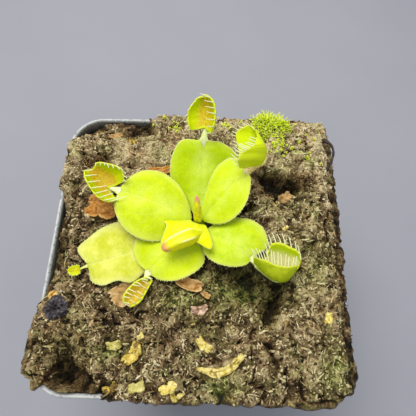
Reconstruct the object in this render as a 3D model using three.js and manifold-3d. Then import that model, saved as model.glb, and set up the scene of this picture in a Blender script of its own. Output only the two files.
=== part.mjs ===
// A young venus flytrap in a square nursery pot: the pot, its soil, the rhizome, a rosette of eight
// leaves with their traps, moss tufts and the litter on the soil. Millimetres, +Z up. The origin is
// the middle of the pot's flat base, +Y is the back of the plant as it is usually looked at.
import * as THREE from "three";
import { mergeVertices } from "three/addons/utils/BufferGeometryUtils.js";
import Module from "manifold-3d";

const wasm = await Module();
wasm.setup();

// ---- Driving dimensions ----

const GAP = 0.3; // clearance between neighbouring pieces

const POT = {
  height: 90,
  half: 45, // half of the outer width at the rim
  baseHalf: 32,
  rimCorner: 11, // corner radius at the rim
  baseCorner: 7,
  wall: 1.1,
  floor: 1.6,
  band: 9, // height of the wider band under the rim
  bandStep: 1.3, // how far the band stands out
  drainRadius: 4,
  drainOffset: 20, // of the corner holes from the middle
};
const RIM = POT.height; // heights above the soil are counted from the rim

const CROWN = { x: 0.8, y: 3.8 }; // axis of the rhizome
const BLADE = 0.7; // thickness of a leaf blade and of a trap lobe
const NECK = 0.75; // radius of the neck between a blade and its trap

const SOIL_CELLS = 22; // squares along each side of the soil's relief
const SOIL_REACH = 44.7; // half of the width that the heaped soil spreads to

const COLOURS = {
  pot: 0x33373a,
  soil: 0x6b5b42,
  rhizome: 0xd9d2b0,
  leaf: 0xc2e02a,
  youngLeaf: 0xe6ea1e,
  moss: 0xa9cf3a,
  deadLeaf: 0xa9742f,
  chip: 0xd9c07c,
  pink: 0xcfa793,
  dark: 0x2c241c,
};

// ---- Geometry helpers ----

const mix = (a, b, t) => a + (b - a) * t;
const clamp = (v, lo, hi) => Math.min(hi, Math.max(lo, v));
const smooth = (lo, hi, v) => {
  const t = clamp((v - lo) / (hi - lo), 0, 1); // also where lo is above hi
  return t * t * (3 - 2 * t);
};
const vec = (x, y, z) => new THREE.Vector3(x, y, z);
const aboveRim = ([x, y, z]) => vec(x, y, RIM + z);

// A closed geometry as a solid.
function solid(geometry) {
  const bare = geometry.clone();
  bare.deleteAttribute("normal");
  bare.deleteAttribute("uv");
  const merged = mergeVertices(bare, 1e-4);
  return new wasm.Manifold(
    new wasm.Mesh({
      numProp: 3,
      vertProperties: merged.attributes.position.array,
      triVerts: new Uint32Array(merged.index.array),
    }),
  );
}

function geometryOf(points, faces) {
  const geometry = new THREE.BufferGeometry().setFromPoints(points);
  return geometry.setIndex(faces);
}

// Only the largest body of a solid, without loose scraps.
function largest(body) {
  return body.decompose().reduce((a, b) => (b.volume() > a.volume() ? b : a));
}

// A closed skin over rings with the same number of points, each seen anticlockwise from the far end.
function loft(rings) {
  const count = rings[0].length;
  const points = rings.flat();
  const faces = [];
  for (let k = 0; k + 1 < rings.length; k++)
    for (let i = 0; i < count; i++) {
      const j = (i + 1) % count;
      const [a, b, c, d] = [k * count + i, k * count + j, (k + 1) * count + j, (k + 1) * count + i];
      faces.push(a, b, c, a, c, d);
    }
  const middle = (ring) => ring.reduce((s, p) => s.add(p), vec(0, 0, 0)).divideScalar(ring.length);
  const first = points.push(middle(rings[0])) - 1;
  const last = points.push(middle(rings[rings.length - 1])) - 1;
  const top = (rings.length - 1) * count;
  for (let i = 0; i < count; i++) {
    const j = (i + 1) % count;
    faces.push(first, j, i, last, top + i, top + j);
  }
  return solid(geometryOf(points, faces));
}

function roundedSquare(half, radius, z, perCorner = 4) {
  const ring = [];
  for (let corner = 0; corner < 4; corner++)
    for (let i = 0; i <= perCorner; i++) {
      const angle = (Math.PI / 2) * (corner + i / perCorner);
      const turn = (Math.PI / 2) * corner + Math.PI / 4;
      const inset = (half - radius) * Math.SQRT2;
      ring.push(
        vec(
          inset * Math.cos(turn) + radius * Math.cos(angle),
          inset * Math.sin(turn) + radius * Math.sin(angle),
          z,
        ),
      );
    }
  return ring;
}

// A round rod along a curve, with its own radius at each step.
function rod(curve, radiusAt, sides, steps) {
  const frames = curve.computeFrenetFrames(steps, false);
  const rings = [];
  for (let k = 0; k <= steps; k++) {
    const centre = curve.getPointAt(k / steps);
    const radius = radiusAt(k / steps);
    const ring = [];
    for (let i = 0; i < sides; i++) {
      const angle = (2 * Math.PI * i) / sides;
      ring.push(
        centre
          .clone()
          .addScaledVector(frames.normals[k], radius * Math.cos(angle))
          .addScaledVector(frames.binormals[k], radius * Math.sin(angle)),
      );
    }
    rings.push(ring);
  }
  return loft(rings);
}

// A thick sheet over the surface middle(u, v), both from 0 to 1, split alike on both faces.
function sheet(middle, nu, nv, thickness) {
  const points = [];
  const step = 1e-3;
  for (let i = 0; i <= nu; i++)
    for (let j = 0; j <= nv; j++) {
      const u = clamp(i / nu, step, 1 - step);
      const v = clamp(j / nv, step, 1 - step);
      const alongU = middle(u + step, v).sub(middle(u - step, v));
      const alongV = middle(u, v + step).sub(middle(u, v - step));
      const normal = alongU.cross(alongV).normalize();
      const centre = middle(i / nu, j / nv);
      points.push(centre.clone().addScaledVector(normal, thickness / 2));
      points.push(centre.clone().addScaledVector(normal, -thickness / 2));
    }
  const at = (i, j, side) => (i * (nv + 1) + j) * 2 + side;
  const faces = [];
  for (let i = 0; i < nu; i++)
    for (let j = 0; j < nv; j++) {
      const [a, b, c, d] = [[i, j], [i + 1, j], [i + 1, j + 1], [i, j + 1]];
      faces.push(at(...a, 0), at(...b, 0), at(...c, 0), at(...a, 0), at(...c, 0), at(...d, 0));
      faces.push(at(...a, 1), at(...c, 1), at(...b, 1), at(...a, 1), at(...d, 1), at(...c, 1));
    }
  const strip = (p, q) => faces.push(at(...p, 0), at(...p, 1), at(...q, 1), at(...p, 0), at(...q, 1), at(...q, 0));
  for (let i = 0; i < nu; i++) {
    strip([i, 0], [i + 1, 0]);
    strip([i + 1, nv], [i, nv]);
  }
  for (let j = 0; j < nv; j++) {
    strip([0, j + 1], [0, j]);
    strip([nu, j], [nu, j + 1]);
  }
  return solid(geometryOf(points, faces));
}

// ---- Ground: the relief of the soil, as height above the rim ----

// Smooth noise from -1 to 1 on a unit lattice, the same on every run.
function noise(x, y) {
  const [cellX, cellY] = [Math.floor(x), Math.floor(y)];
  const corner = (i, j) => {
    const value = Math.sin((cellX + i) * 127.1 + (cellY + j) * 311.7) * 43758.5453;
    return value - Math.floor(value);
  };
  const [fx, fy] = [x - cellX, y - cellY];
  const [sx, sy] = [fx * fx * (3 - 2 * fx), fy * fy * (3 - 2 * fy)];
  return 2 * mix(mix(corner(0, 0), corner(1, 0), sx), mix(corner(0, 1), corner(1, 1), sx), sy) - 1;
}

// Mounds and gullies: place, reach along and across, turn in degrees, height.
const MOUNDS = [
  { x: 28, y: -23, along: 10, across: 5, turn: -60, height: 2.2 },
  { x: 40, y: -20, along: 16, across: 7, turn: 90, height: 1.2 },
  { x: 36, y: 34, along: 14, across: 12, turn: 0, height: 1.6 },
  { x: 12, y: 36, along: 22, across: 8, turn: 0, height: 1.6 },
  { x: 10, y: -40, along: 30, across: 8, turn: 0, height: 1.4 },
  { x: -26, y: -27, along: 14, across: 10, turn: 30, height: 1.2 },
  { x: -41, y: -27, along: 8, across: 5, turn: 90, height: 3.2 },
  { x: -43, y: 25, along: 8, across: 4, turn: 90, height: 3.2 },
  { x: 0, y: 5, along: 14, across: 10, turn: 20, height: -2.1 },
  { x: -20, y: -5, along: 17, across: 10, turn: 15, height: -2.4 },
  { x: 27, y: 20, along: 7, across: 3.4, turn: -25, height: -4 },
  { x: 14, y: -12, along: 12, across: 5, turn: -25, height: -3.2 },
  { x: 22, y: -21, along: 8, across: 3.2, turn: 80, height: -2.8 },
  { x: -35, y: -39, along: 8, across: 4, turn: -10, height: -5 },
  { x: -35, y: 27, along: 7, across: 3.5, turn: 30, height: -3.5 },
  { x: -28, y: 13, along: 7, across: 4, turn: -20, height: -1 },
];
const TILT = 0.045; // the soil stands higher at the right than at the left
const LEVEL = 1.9; // mean height above the rim
const EDGE = 0.9; // height of the heap where it ends on the rim
const LUMPS = [
  { size: 8.5, height: 0.9 },
  { size: 4.6, height: 0.55 },
];

function ground(x, y) {
  let z = LEVEL + TILT * x;
  for (const mound of MOUNDS) {
    const turn = THREE.MathUtils.degToRad(mound.turn);
    const [dx, dy] = [x - mound.x, y - mound.y];
    const along = (dx * Math.cos(turn) + dy * Math.sin(turn)) / mound.along;
    const across = (dy * Math.cos(turn) - dx * Math.sin(turn)) / mound.across;
    z += mound.height * Math.exp(-along * along - across * across);
  }
  // The lumps are lower under the rosette.
  const rough = mix(0.35, 1, smooth(12, 24, Math.hypot(x + 5, y - 2)));
  for (const lump of LUMPS) z += rough * lump.height * noise(x / lump.size + 31.7, y / lump.size + 11.3);
  // At the left and at the back left corner the soil lies below the rim, elsewhere its edge rounds off.
  z -= 4.2 * smooth(32, 43, -x) * smooth(-17, -11, y) * smooth(17, 11, y);
  z -= 5 * smooth(-10, -20, x) * smooth(35, 42, y);
  z -= 2.4 * smooth(-12, -20, x) * smooth(38, 43, -y);
  const edge = smooth(39, 45, Math.max(Math.abs(x), Math.abs(y)));
  return mix(z, Math.min(z, EDGE), edge);
}

// ---- Pot ----

const wallHalf = (z) => {
  const bandFoot = RIM - POT.band;
  const taper = mix(POT.baseHalf, POT.half - POT.bandStep, Math.min(z / bandFoot, 1));
  return taper + POT.bandStep * smooth(bandFoot - 1, bandFoot + 1, z);
};
const wallCorner = (z) => mix(POT.baseCorner, POT.rimCorner, z / RIM);
const outside = (z, shift = 0) => roundedSquare(wallHalf(z) + shift, wallCorner(z) + shift, z);
const inside = (z, gap = 0) => outside(z, -POT.wall - gap);

function makePot() {
  const bandFoot = RIM - POT.band;
  const bead = 0.35; // the rim's edge is a rounded bead
  let pot = loft([
    outside(0, -0.8),
    outside(0.9),
    outside(bandFoot - 1),
    outside(bandFoot + 1),
    outside(RIM - 1.4),
    outside(RIM - 0.5, 0),
    outside(RIM, -bead),
    outside(RIM, bead - POT.wall - 0.2),
    outside(RIM - 0.5, -POT.wall - 0.2),
    outside(RIM - 1.4, -POT.wall),
    inside(bandFoot + 1.3),
    inside(bandFoot - 0.7),
    inside(POT.floor + 1.2),
    inside(POT.floor, 1.2),
  ]);
  const drains = [];
  for (let i = 0; i < 4; i++) {
    const turn = (Math.PI / 2) * (i + 0.5);
    drains.push([POT.drainOffset * Math.SQRT2 * Math.cos(turn), POT.drainOffset * Math.SQRT2 * Math.sin(turn)]);
    drains.push([POT.drainOffset * Math.cos(turn - Math.PI / 4), POT.drainOffset * Math.sin(turn - Math.PI / 4)]);
  }
  drains.forEach(([x, y], i) => {
    const radius = i % 2 ? POT.drainRadius * 0.6 : POT.drainRadius;
    const hole = new THREE.CylinderGeometry(radius, radius, 3 * POT.floor, 14)
      .rotateX(Math.PI / 2)
      .translate(x, y, POT.floor / 2);
    pot = pot.subtract(solid(hole));
  });
  return pot;
}

// ---- Rhizome ----

const RHIZOME = [
  // radius, height above the rim
  [1.2, -17],
  [3.4, -13.5],
  [4.1, -9],
  [3.5, -4],
  [3, -0.5],
  [2.7, 2.2],
  [2, 4],
  [1.2, 5.6],
];
const ROOTS = [
  { turn: 20, spread: 13, depth: 44 },
  { turn: 110, spread: 9, depth: 52 },
  { turn: 205, spread: 14, depth: 40 },
  { turn: 290, spread: 10, depth: 48 },
];
const ROOT_RADIUS = 0.9;

// The bulb and its roots, or with a margin the hole that they stand in.
function rhizomeSolid(margin) {
  const profile = RHIZOME.map(([r, z]) => new THREE.Vector2(r + margin, z));
  const [bottom, top] = [profile[0], profile[profile.length - 1]];
  bottom.y -= margin;
  top.y += margin;
  profile.unshift(new THREE.Vector2(0, bottom.y));
  profile.push(new THREE.Vector2(0, top.y));
  const bulb = new THREE.LatheGeometry(profile, 12).rotateX(Math.PI / 2).translate(CROWN.x, CROWN.y, RIM);
  let body = solid(bulb);
  for (const root of ROOTS) {
    const turn = THREE.MathUtils.degToRad(root.turn);
    const out = (distance, z) => vec(CROWN.x + distance * Math.cos(turn), CROWN.y + distance * Math.sin(turn), RIM + z);
    const curve = new THREE.QuadraticBezierCurve3(out(1, -12), out(root.spread, -16), out(root.spread, -root.depth - margin));
    body = body.add(rod(curve, (t) => mix(ROOT_RADIUS, 0.5, t) + 1.3 * margin, 5, 4));
  }
  return body;
}

// ---- Leaves ----

// A leaf's rib gives base, middle and neck, places on the midrib, with heights above the rim. The outlines run from the base
// to the neck, as share of the midrib's length and distance from it, to the left and to the right of the way
// that the leaf grows. Fold lifts the sides off the midrib, droop bends the margins down again.
// A trap's at and tip are the ends of its midrib, open is the way it faces, gape the lean of its lobes at the
// midrib and at the margin, and inward the bend of its teeth, in degrees. The young leaf's trap is a closed bud.
const LEAVES = [
  {
    name: "leaf_lower_left",
    rib: [[-2.6, 2.4, 0.7], [-18, -4.6, 2.7], [-32, -9.0, 1.6]],
    left: [[0, 1.2], [0.14, 2.4], [0.32, 5.2], [0.5, 7.6], [0.68, 8.4], [0.82, 6.4], [0.95, 5.2], [1, 0.8]],
    right: [[0, 1.2], [0.14, 2.6], [0.3, 7.0], [0.5, 10.4], [0.7, 11.4], [0.88, 10.2], [1.04, 6.4], [1, 0.8]],
    fold: 0.02,
    droop: 0.16,
    wave: 0.4,
    trap: {
      at: [-34.2, -9.8, 1.6],
      tip: [-37.0, -10.5, 2.1],
      open: [-0.1, 0.1, 1],
      width: 2.0,
      gape: [80, 20],
      teeth: 3,
      toothLength: 1.6,
      inward: 10,
    },
  },
  {
    name: "leaf_front",
    rib: [[-1.2, 0.8, 2.7], [-6.6, -5.0, 5.6], [-13.1, -11.2, 4.1]],
    left: [[0, 1.2], [0.08, 3.8], [0.22, 7.2], [0.42, 8.8], [0.6, 8.6], [0.78, 7.2], [0.93, 4.2], [1, 0.8]],
    right: [[0, 1.2], [0.12, 2.8], [0.3, 5.4], [0.5, 8.4], [0.74, 10.4], [0.96, 8.6], [1.04, 4.4], [1, 0.8]],
    fold: 0.04,
    droop: 0.08,
    wave: 0.2,
    trap: {
      at: [-14.4, -14.4, 3.6],
      tip: [-18.0, -20.8, 4.6],
      open: [0.12, -0.25, 1],
      width: 4.6,
      gape: [80, -10],
      teeth: 8,
      toothLength: 2.6,
      inward: 55,
    },
  },
  {
    name: "leaf_right",
    rib: [[3.6, 2.2, 2.8], [10.0, -1.9, 6.0], [17.0, -6.6, 5.6]],
    left: [[0, 1.2], [0.1, 4.4], [0.24, 7.0], [0.44, 9.0], [0.68, 10.0], [0.92, 9.4], [1.12, 5.6], [1, 0.8]],
    right: [[0, 1.2], [0.1, 3.6], [0.24, 5.6], [0.44, 7.2], [0.64, 6.8], [0.84, 5.2], [0.98, 2.8], [1, 0.8]],
    fold: 0.08,
    droop: 0.2,
    wave: 0.3,
    trap: {
      at: [20.4, -10.4, 5.6],
      tip: [29.0, -12.2, 7.2],
      open: [-0.12, 0.74, 0.66],
      width: 7.2,
      gape: [66, -8],
      teeth: 8,
      toothLength: 3.4,
      inward: -6,
    },
  },
  {
    name: "leaf_back",
    rib: [[1.2, 6.8, 2.9], [1.8, 17.6, 6.4], [2.1, 28.6, 12.6]],
    left: [[0, 1.2], [0.14, 3.8], [0.3, 7.4], [0.48, 9.8], [0.66, 10.4], [0.84, 9.6], [1.0, 6.8], [1, 0.8]],
    right: [[0, 1.2], [0.14, 3.8], [0.3, 7.4], [0.5, 10.8], [0.68, 11.8], [0.86, 10.2], [0.98, 5.6], [1, 0.8]],
    fold: 0.12,
    droop: 0.2,
    wave: 0.3,
    trap: {
      at: [2.2, 31.6, 14.8],
      tip: [2.0, 39.6, 19.2],
      open: [-0.32, -0.5, 0.8],
      width: 6.2,
      gape: [74, 18],
      teeth: 8,
      toothLength: 2.6,
      inward: 50,
    },
  },
  {
    name: "leaf_left",
    rib: [[-1.5, 4.9, 4.8], [-11.2, 8.4, 9.2], [-23.4, 13.0, 8.2]],
    left: [[0, 1.2], [0.06, 5.0], [0.22, 9.0], [0.44, 11.2], [0.64, 11.2], [0.82, 9.4], [0.97, 5.2], [1, 0.8]],
    right: [[0, 1.2], [0.14, 3.4], [0.32, 7.0], [0.52, 9.8], [0.7, 10.6], [0.88, 9.0], [0.98, 4.8], [1, 0.8]],
    fold: 0.1,
    droop: 0.26,
    wave: 0.2,
    trap: {
      at: [-27.0, 13.7, 8.4],
      tip: [-33.0, 18.6, 10.0],
      open: [0.36, -0.2, 0.9],
      width: 7,
      gape: [76, 22],
      teeth: 8,
      toothLength: 3.4,
      inward: 50,
    },
  },
  {
    name: "leaf_back_right",
    rib: [[2.2, 5.6, 4.6], [8.6, 11.8, 9.6], [15.2, 18.4, 11.6]],
    left: [[0, 1.2], [0.12, 2.4], [0.3, 4.4], [0.52, 6.4], [0.76, 7.6], [0.98, 6.8], [1.06, 4.0], [1, 0.8]],
    right: [[0, 1.2], [0.1, 4.4], [0.26, 6.8], [0.46, 7.4], [0.66, 6.6], [0.84, 4.6], [0.97, 2.4], [1, 0.8]],
    fold: 0.14,
    droop: 0.2,
    wave: 0.2,
    trap: {
      at: [18.6, 20.0, 12.6],
      tip: [19.9, 26.6, 16.2],
      open: [-0.78, 0.3, 0.5],
      width: 8.2,
      gape: [62, -8],
      teeth: 8,
      toothLength: 2.4,
      inward: 14,
    },
  },
  {
    name: "leaf_young",
    rib: [[0.2, 3.2, 7.4], [-0.8, 0.4, 9.9], [-2.2, -2.6, 10.2]],
    left: [[0, 1.0], [0.15, 3.4], [0.4, 6.4], [0.62, 5.2], [0.85, 3.4], [1, 0.9]],
    right: [[0, 1.0], [0.2, 3.6], [0.5, 6.6], [0.72, 8.2], [0.86, 5.4], [1, 0.9]],
    fold: -0.03,
    droop: 0.2,
    wave: 0,
    bud: { base: [1.2, -1.8, 10.8], bend: [-3.4, -3.6, 12.4], tip: [-8.2, -6.0, 10.2], radius: 1.8 },
  },
];

const spline = (stations) => new THREE.SplineCurve(stations.map(([a, b]) => new THREE.Vector2(a, b)));

// The surface of a blade: u runs from base to neck, v from the right margin to the left one.
function bladeSurface(leaf) {
  const rib = leaf.rib.map(aboveRim);
  const control = rib[1].clone().multiplyScalar(2).addScaledVector(rib[0], -0.5).addScaledVector(rib[2], -0.5);
  const curve = new THREE.QuadraticBezierCurve3(rib[0], control, rib[2]);
  const slopeAt = (a) => curve.getTangent(clamp(a, 0, 1));
  const length = curve.getLength();
  const ribAt = (a) => curve.getPoint(clamp(a, 0, 1)).addScaledVector(slopeAt(a), (a - clamp(a, 0, 1)) * length);
  const outlines = { left: spline(leaf.left), right: spline(leaf.right) };
  return (u, v) => {
    const across = 2 * v - 1;
    const side = across >= 0 ? 1 : -1;
    const share = Math.abs(across);
    const edge = (side > 0 ? outlines.left : outlines.right).getPoint(u);
    const along = u + (edge.x - u) * share * share;
    const out = edge.y * share;
    const forward = slopeAt(along);
    const left = vec(0, 0, 1).cross(forward).normalize();
    const up = forward.clone().cross(left);
    const rise = leaf.fold * out - leaf.droop * (out * out) / 12 + leaf.wave * Math.sin(9 * u + 2 * side) * share ** 3;
    return ribAt(along).addScaledVector(left, side * out).addScaledVector(up, rise);
  };
}

// The axes of a trap: along its midrib, across it, and the way it gapes.
function trapAxes(trap) {
  const [at, tip] = [aboveRim(trap.at), aboveRim(trap.tip)];
  const along = tip.clone().sub(at);
  const length = along.length();
  along.normalize();
  const open = vec(...trap.open).addScaledVector(along, -along.dot(vec(...trap.open))).normalize();
  return { at, length, along, open, across: open.clone().cross(along) };
}

const TRAP_BLUNT = 0.9; // how far the lobes narrow at the ends
const TRAP_SPREAD = 0.34; // how much longer the margins are than the midrib
const TRAP_BACK = 0.1; // how far the lobes reach back past the neck
const TRAP_LEAN = 0.14; // how much wider the lobes are at the neck's end
const TRAP_BOW = 0.12; // sag of the midrib, as share of its length

// The surface of a trap: s runs along the midrib, t from one margin over the midrib to the other.
function trapSurface(trap) {
  const { at, length, along, open, across } = trapAxes(trap);
  const [first, last] = trap.gape.map(THREE.MathUtils.degToRad);
  const turn = last - first;
  return (s, t) => {
    const q = 2 * s - 1;
    const share = Math.abs(2 * t - 1);
    const side = t >= 0.5 ? 1 : -1;
    const width = trap.width * (1 - TRAP_LEAN * q) * Math.sqrt(1 - TRAP_BLUNT * Math.abs(q) ** 2.4);
    const outward = (width * (Math.cos(first) - Math.cos(first + turn * share))) / turn;
    const rise = (width * (Math.sin(first + turn * share) - Math.sin(first))) / turn;
    const bow = TRAP_BOW * length * (1 - q * q);
    return at
      .clone()
      .addScaledVector(along, length * (0.5 + (q / 2) * (1 + TRAP_SPREAD * share) - TRAP_BACK * share))
      .addScaledVector(across, side * outward)
      .addScaledVector(open, rise - bow);
  };
}

const TOOTH_ROOT = 0.3;
const TOOTH_TIP = 0.09;

function trapTeeth(trap) {
  const { along, open, across } = trapAxes(trap);
  const surface = trapSurface(trap);
  const margin = THREE.MathUtils.degToRad(trap.gape[1]);
  const teeth = [];
  for (const side of [-1, 1])
    for (let i = 0; i < trap.teeth; i++) {
      const s = mix(0.08, 0.92, i / (trap.teeth - 1));
      const root = surface(s, side > 0 ? 1 : 0);
      const pointing = (angle, fan) =>
        vec(0, 0, 0)
          .addScaledVector(across, side * Math.sin(angle))
          .addScaledVector(open, Math.cos(angle))
          .addScaledVector(along, fan * (2 * s - 1))
          .normalize();
      const bend = THREE.MathUtils.degToRad(trap.inward);
      const reach = trap.toothLength * (0.75 + 0.25 * Math.cos(Math.PI * (s - 0.5)));
      const start = root.clone().addScaledVector(pointing(margin, 0), -0.6);
      const end = root.clone().addScaledVector(pointing(margin - 0.8 * bend, 0.4), reach);
      teeth.push(rod(new THREE.LineCurve3(start, end), (t) => mix(TOOTH_ROOT, TOOTH_TIP, t), 3, 1));
    }
  return teeth;
}

// A closed bud along a curve, thickest in its first half.
function makeBud({ base, bend, tip, radius }, sides = 8, steps = 7) {
  const curve = new THREE.QuadraticBezierCurve3(aboveRim(base), aboveRim(bend), aboveRim(tip));
  return rod(curve, (t) => radius * (0.28 + 0.72 * Math.sin(Math.PI * mix(0.22, 0.98, t))), sides, steps);
}

function makeLeaf(leaf, cells = [12, 6], trapCells = [7, 6]) {
  const surface = bladeSurface(leaf);
  const blade = sheet(surface, ...cells, BLADE);
  if (leaf.bud) return blade.add(makeBud(leaf.bud));
  const { at, along } = trapAxes(leaf.trap);
  const neckEnd = surface(1, 0.5);
  const inBlade = neckEnd.clone().lerp(surface(0.9, 0.5), 0.6);
  const inTrap = at.clone().addScaledVector(along, 0.8);
  const neck = new THREE.CatmullRomCurve3([inBlade, neckEnd, at, inTrap]);
  const pieces = [rod(neck, (t) => NECK * mix(0.8, 1, t), 6, 4), sheet(trapSurface(leaf.trap), ...trapCells, BLADE)];
  return [...pieces, ...trapTeeth(leaf.trap)].reduce((body, piece) => body.add(piece), blade);
}

// The newest leaf is a closed bud that stands on the crown and leans back.
const SPEAR = { base: [0.9, 4.6, 6.3], bend: [0.9, 5.2, 10.5], tip: [0.7, 9.2, 14.4], radius: 1.15 };

// ---- Moss ----

const MOSS = [
  { name: "moss_tuft_back_right", x: 25, y: 40, radius: 5.4, needles: 26, length: 3.4 },
  { name: "moss_tuft_middle_right", x: 27, y: 31.6, radius: 2.8, needles: 10, length: 2.0 },
  { name: "moss_tuft_back_left", x: -8.6, y: 40.4, radius: 2.2, needles: 8, length: 1.9 },
  { name: "moss_tuft_back_middle", x: 9.4, y: 40.4, radius: 2.2, needles: 8, length: 1.9 },
  { name: "moss_tuft_star", x: 35.6, y: 28, radius: 1.9, needles: 7, length: 1.9 },
];
const GOLDEN_ANGLE = Math.PI * (3 - Math.sqrt(5));
const MOSS_ROOT = 0.42;

const seat = (thing) => RIM + ground(thing.x, thing.y);

// A low dome, or with a margin the hollow that it sits in.
function dome(x, y, z, radius, height, margin, sides = 8) {
  const profile = [[0, -1.4], [0.8, -1.1], [1, -0.2], [0.85, 0.45], [0.45, 0.9], [0, 1]].map(
    ([r, h]) => new THREE.Vector2(r ? r * radius + margin : 0, h * height + Math.sign(h) * margin),
  );
  return solid(new THREE.LatheGeometry(profile, sides).rotateX(Math.PI / 2).translate(x, y, z));
}

function mossCushion(tuft, margin) {
  return dome(tuft.x, tuft.y, seat(tuft), tuft.radius * 0.8, 1.3, margin);
}

function makeMoss(tuft) {
  let body = mossCushion(tuft, 0);
  const centre = vec(tuft.x, tuft.y, seat(tuft) + 0.5);
  for (let i = 0; i < tuft.needles; i++) {
    const share = Math.sqrt((i + 0.5) / tuft.needles);
    const turn = i * GOLDEN_ANGLE;
    const lean = share * 0.95;
    const root = centre.clone().add(vec(share * tuft.radius * 0.5 * Math.cos(turn), share * tuft.radius * 0.5 * Math.sin(turn), 0));
    const way = vec(Math.sin(lean) * Math.cos(turn), Math.sin(lean) * Math.sin(turn), Math.cos(lean));
    const reach = tuft.length * (0.86 + 0.14 * noise(i * 1.7, 4.2));
    const tip = root.clone().addScaledVector(way, reach);
    body = body.add(rod(new THREE.LineCurve3(root, tip), (t) => mix(MOSS_ROOT, 0.1, t), 3, 1));
  }
  return body;
}

// ---- Litter ----

// Thin flakes that lie in the soil: place, half length and half width, turn and how they curl.
const FLAKES = [
  { name: "dead_leaf_left", x: -31, y: 10.4, long: 6.6, wide: 4.4, turn: -14, curl: 0.9, tilt: 8, colour: "deadLeaf" },
  { name: "dead_leaf_tan", x: -21.4, y: -16.2, long: 4.3, wide: 3.2, turn: 24, curl: 0.2, tilt: 0, colour: "deadLeaf" },
  { name: "dead_leaf_curled", x: -1.6, y: -13.6, long: 4.6, wide: 2.4, turn: -20, curl: 1.3, tilt: -6, colour: "deadLeaf" },
  { name: "dead_leaf_behind", x: -12.6, y: 23.4, long: 3.6, wide: 1.9, turn: 8, curl: 0.6, tilt: 0, colour: "deadLeaf" },
  { name: "chip_curved", x: 8.6, y: -36.4, long: 5.8, wide: 1.8, turn: 18, curl: 0.6, tilt: 0, colour: "chip" },
  { name: "chip_front_bright", x: -5.4, y: -41.6, long: 2.2, wide: 1.5, turn: 30, curl: 0.3, tilt: 0, colour: "chip" },
  { name: "chip_front_left", x: -16, y: -33.2, long: 2.9, wide: 2.3, turn: 60, curl: 0.4, tilt: 0, colour: "chip" },
  { name: "chip_middle", x: 3.7, y: -30.6, long: 2.2, wide: 1.5, turn: -40, curl: 0.3, tilt: 0, colour: "chip" },
  { name: "chip_corner_left", x: -14.2, y: -41.8, long: 2.0, wide: 1.4, turn: 10, curl: 0.3, tilt: 0, colour: "chip" },
  { name: "chip_pale_right", x: 38, y: -22.8, long: 1.5, wide: 1.2, turn: 80, curl: 0.2, tilt: 0, colour: "chip" },
  { name: "chip_pink", x: 2.2, y: -21, long: 2.3, wide: 1.6, turn: 10, curl: 0.4, tilt: 0, colour: "pink" },
];
const FLAKE_THICKNESS = 0.7;
const FLAKE_RAGGED = 0.09; // how much the outline strays, as share of the size

const HOLLOW_ROOM = 2; // share of the margin that a flake's hollow is wider all round

// A flake with an angular outline, or with a margin the hollow that it lies in.
function flakeSolid(flake, margin) {
  const turn = THREE.MathUtils.degToRad(flake.turn);
  const tilt = Math.tan(THREE.MathUtils.degToRad(flake.tilt));
  const middle = (u, v) => {
    const [p, q] = [2 * u - 1, 2 * v - 1];
    const pinch = Math.sqrt(1 - 0.72 * p * p);
    const ragged = 1 + FLAKE_RAGGED * noise(3 * p + flake.x, 3 * q + flake.y);
    const along = p * (flake.long * ragged + HOLLOW_ROOM * margin);
    const across = q * (flake.wide * pinch * ragged + HOLLOW_ROOM * margin);
    const lift = flake.curl * (Math.abs(q) ** 2 + 0.6 * p * p) + tilt * along;
    return vec(
      flake.x + along * Math.cos(turn) - across * Math.sin(turn),
      flake.y + along * Math.sin(turn) + across * Math.cos(turn),
      seat(flake) + lift,
    );
  };
  const cells = flake.long > 3 ? [6, 4] : [4, 2];
  return sheet(middle, ...cells, FLAKE_THICKNESS + 2 * margin);
}

const LUMP_PIECES = [
  { name: "stone_golden", x: -41.4, y: -17.9, radius: 1.5, height: 1.1, colour: "chip" },
  { name: "lump_dark", x: -39.6, y: -21.8, radius: 2.8, height: 2.1, colour: "dark" },
];
const lumpSolid = (lump, margin) => dome(lump.x, lump.y, seat(lump), lump.radius, lump.height, margin, 9);

// A dead root that comes out of the soil at the back right, arches over the edge and goes back in.
const FIBRE = { points: [[39.6, 34.6, 1.2], [41.6, 34.2, 4.6], [43.6, 31.6, 5.8], [43.9, 28.2, 5.4], [42.4, 24.6, 3.6], [40.6, 23.4, 0.6]], radius: 0.5 };

function fibreSolid(margin) {
  const points = FIBRE.points.map(aboveRim);
  for (const end of [points[0], points[points.length - 1]]) end.z -= 1.3 * margin;
  const curve = new THREE.CatmullRomCurve3(points);
  return rod(curve, () => FIBRE.radius + 1.3 * margin, 5, 12);
}

// ---- Soil ----

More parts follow.
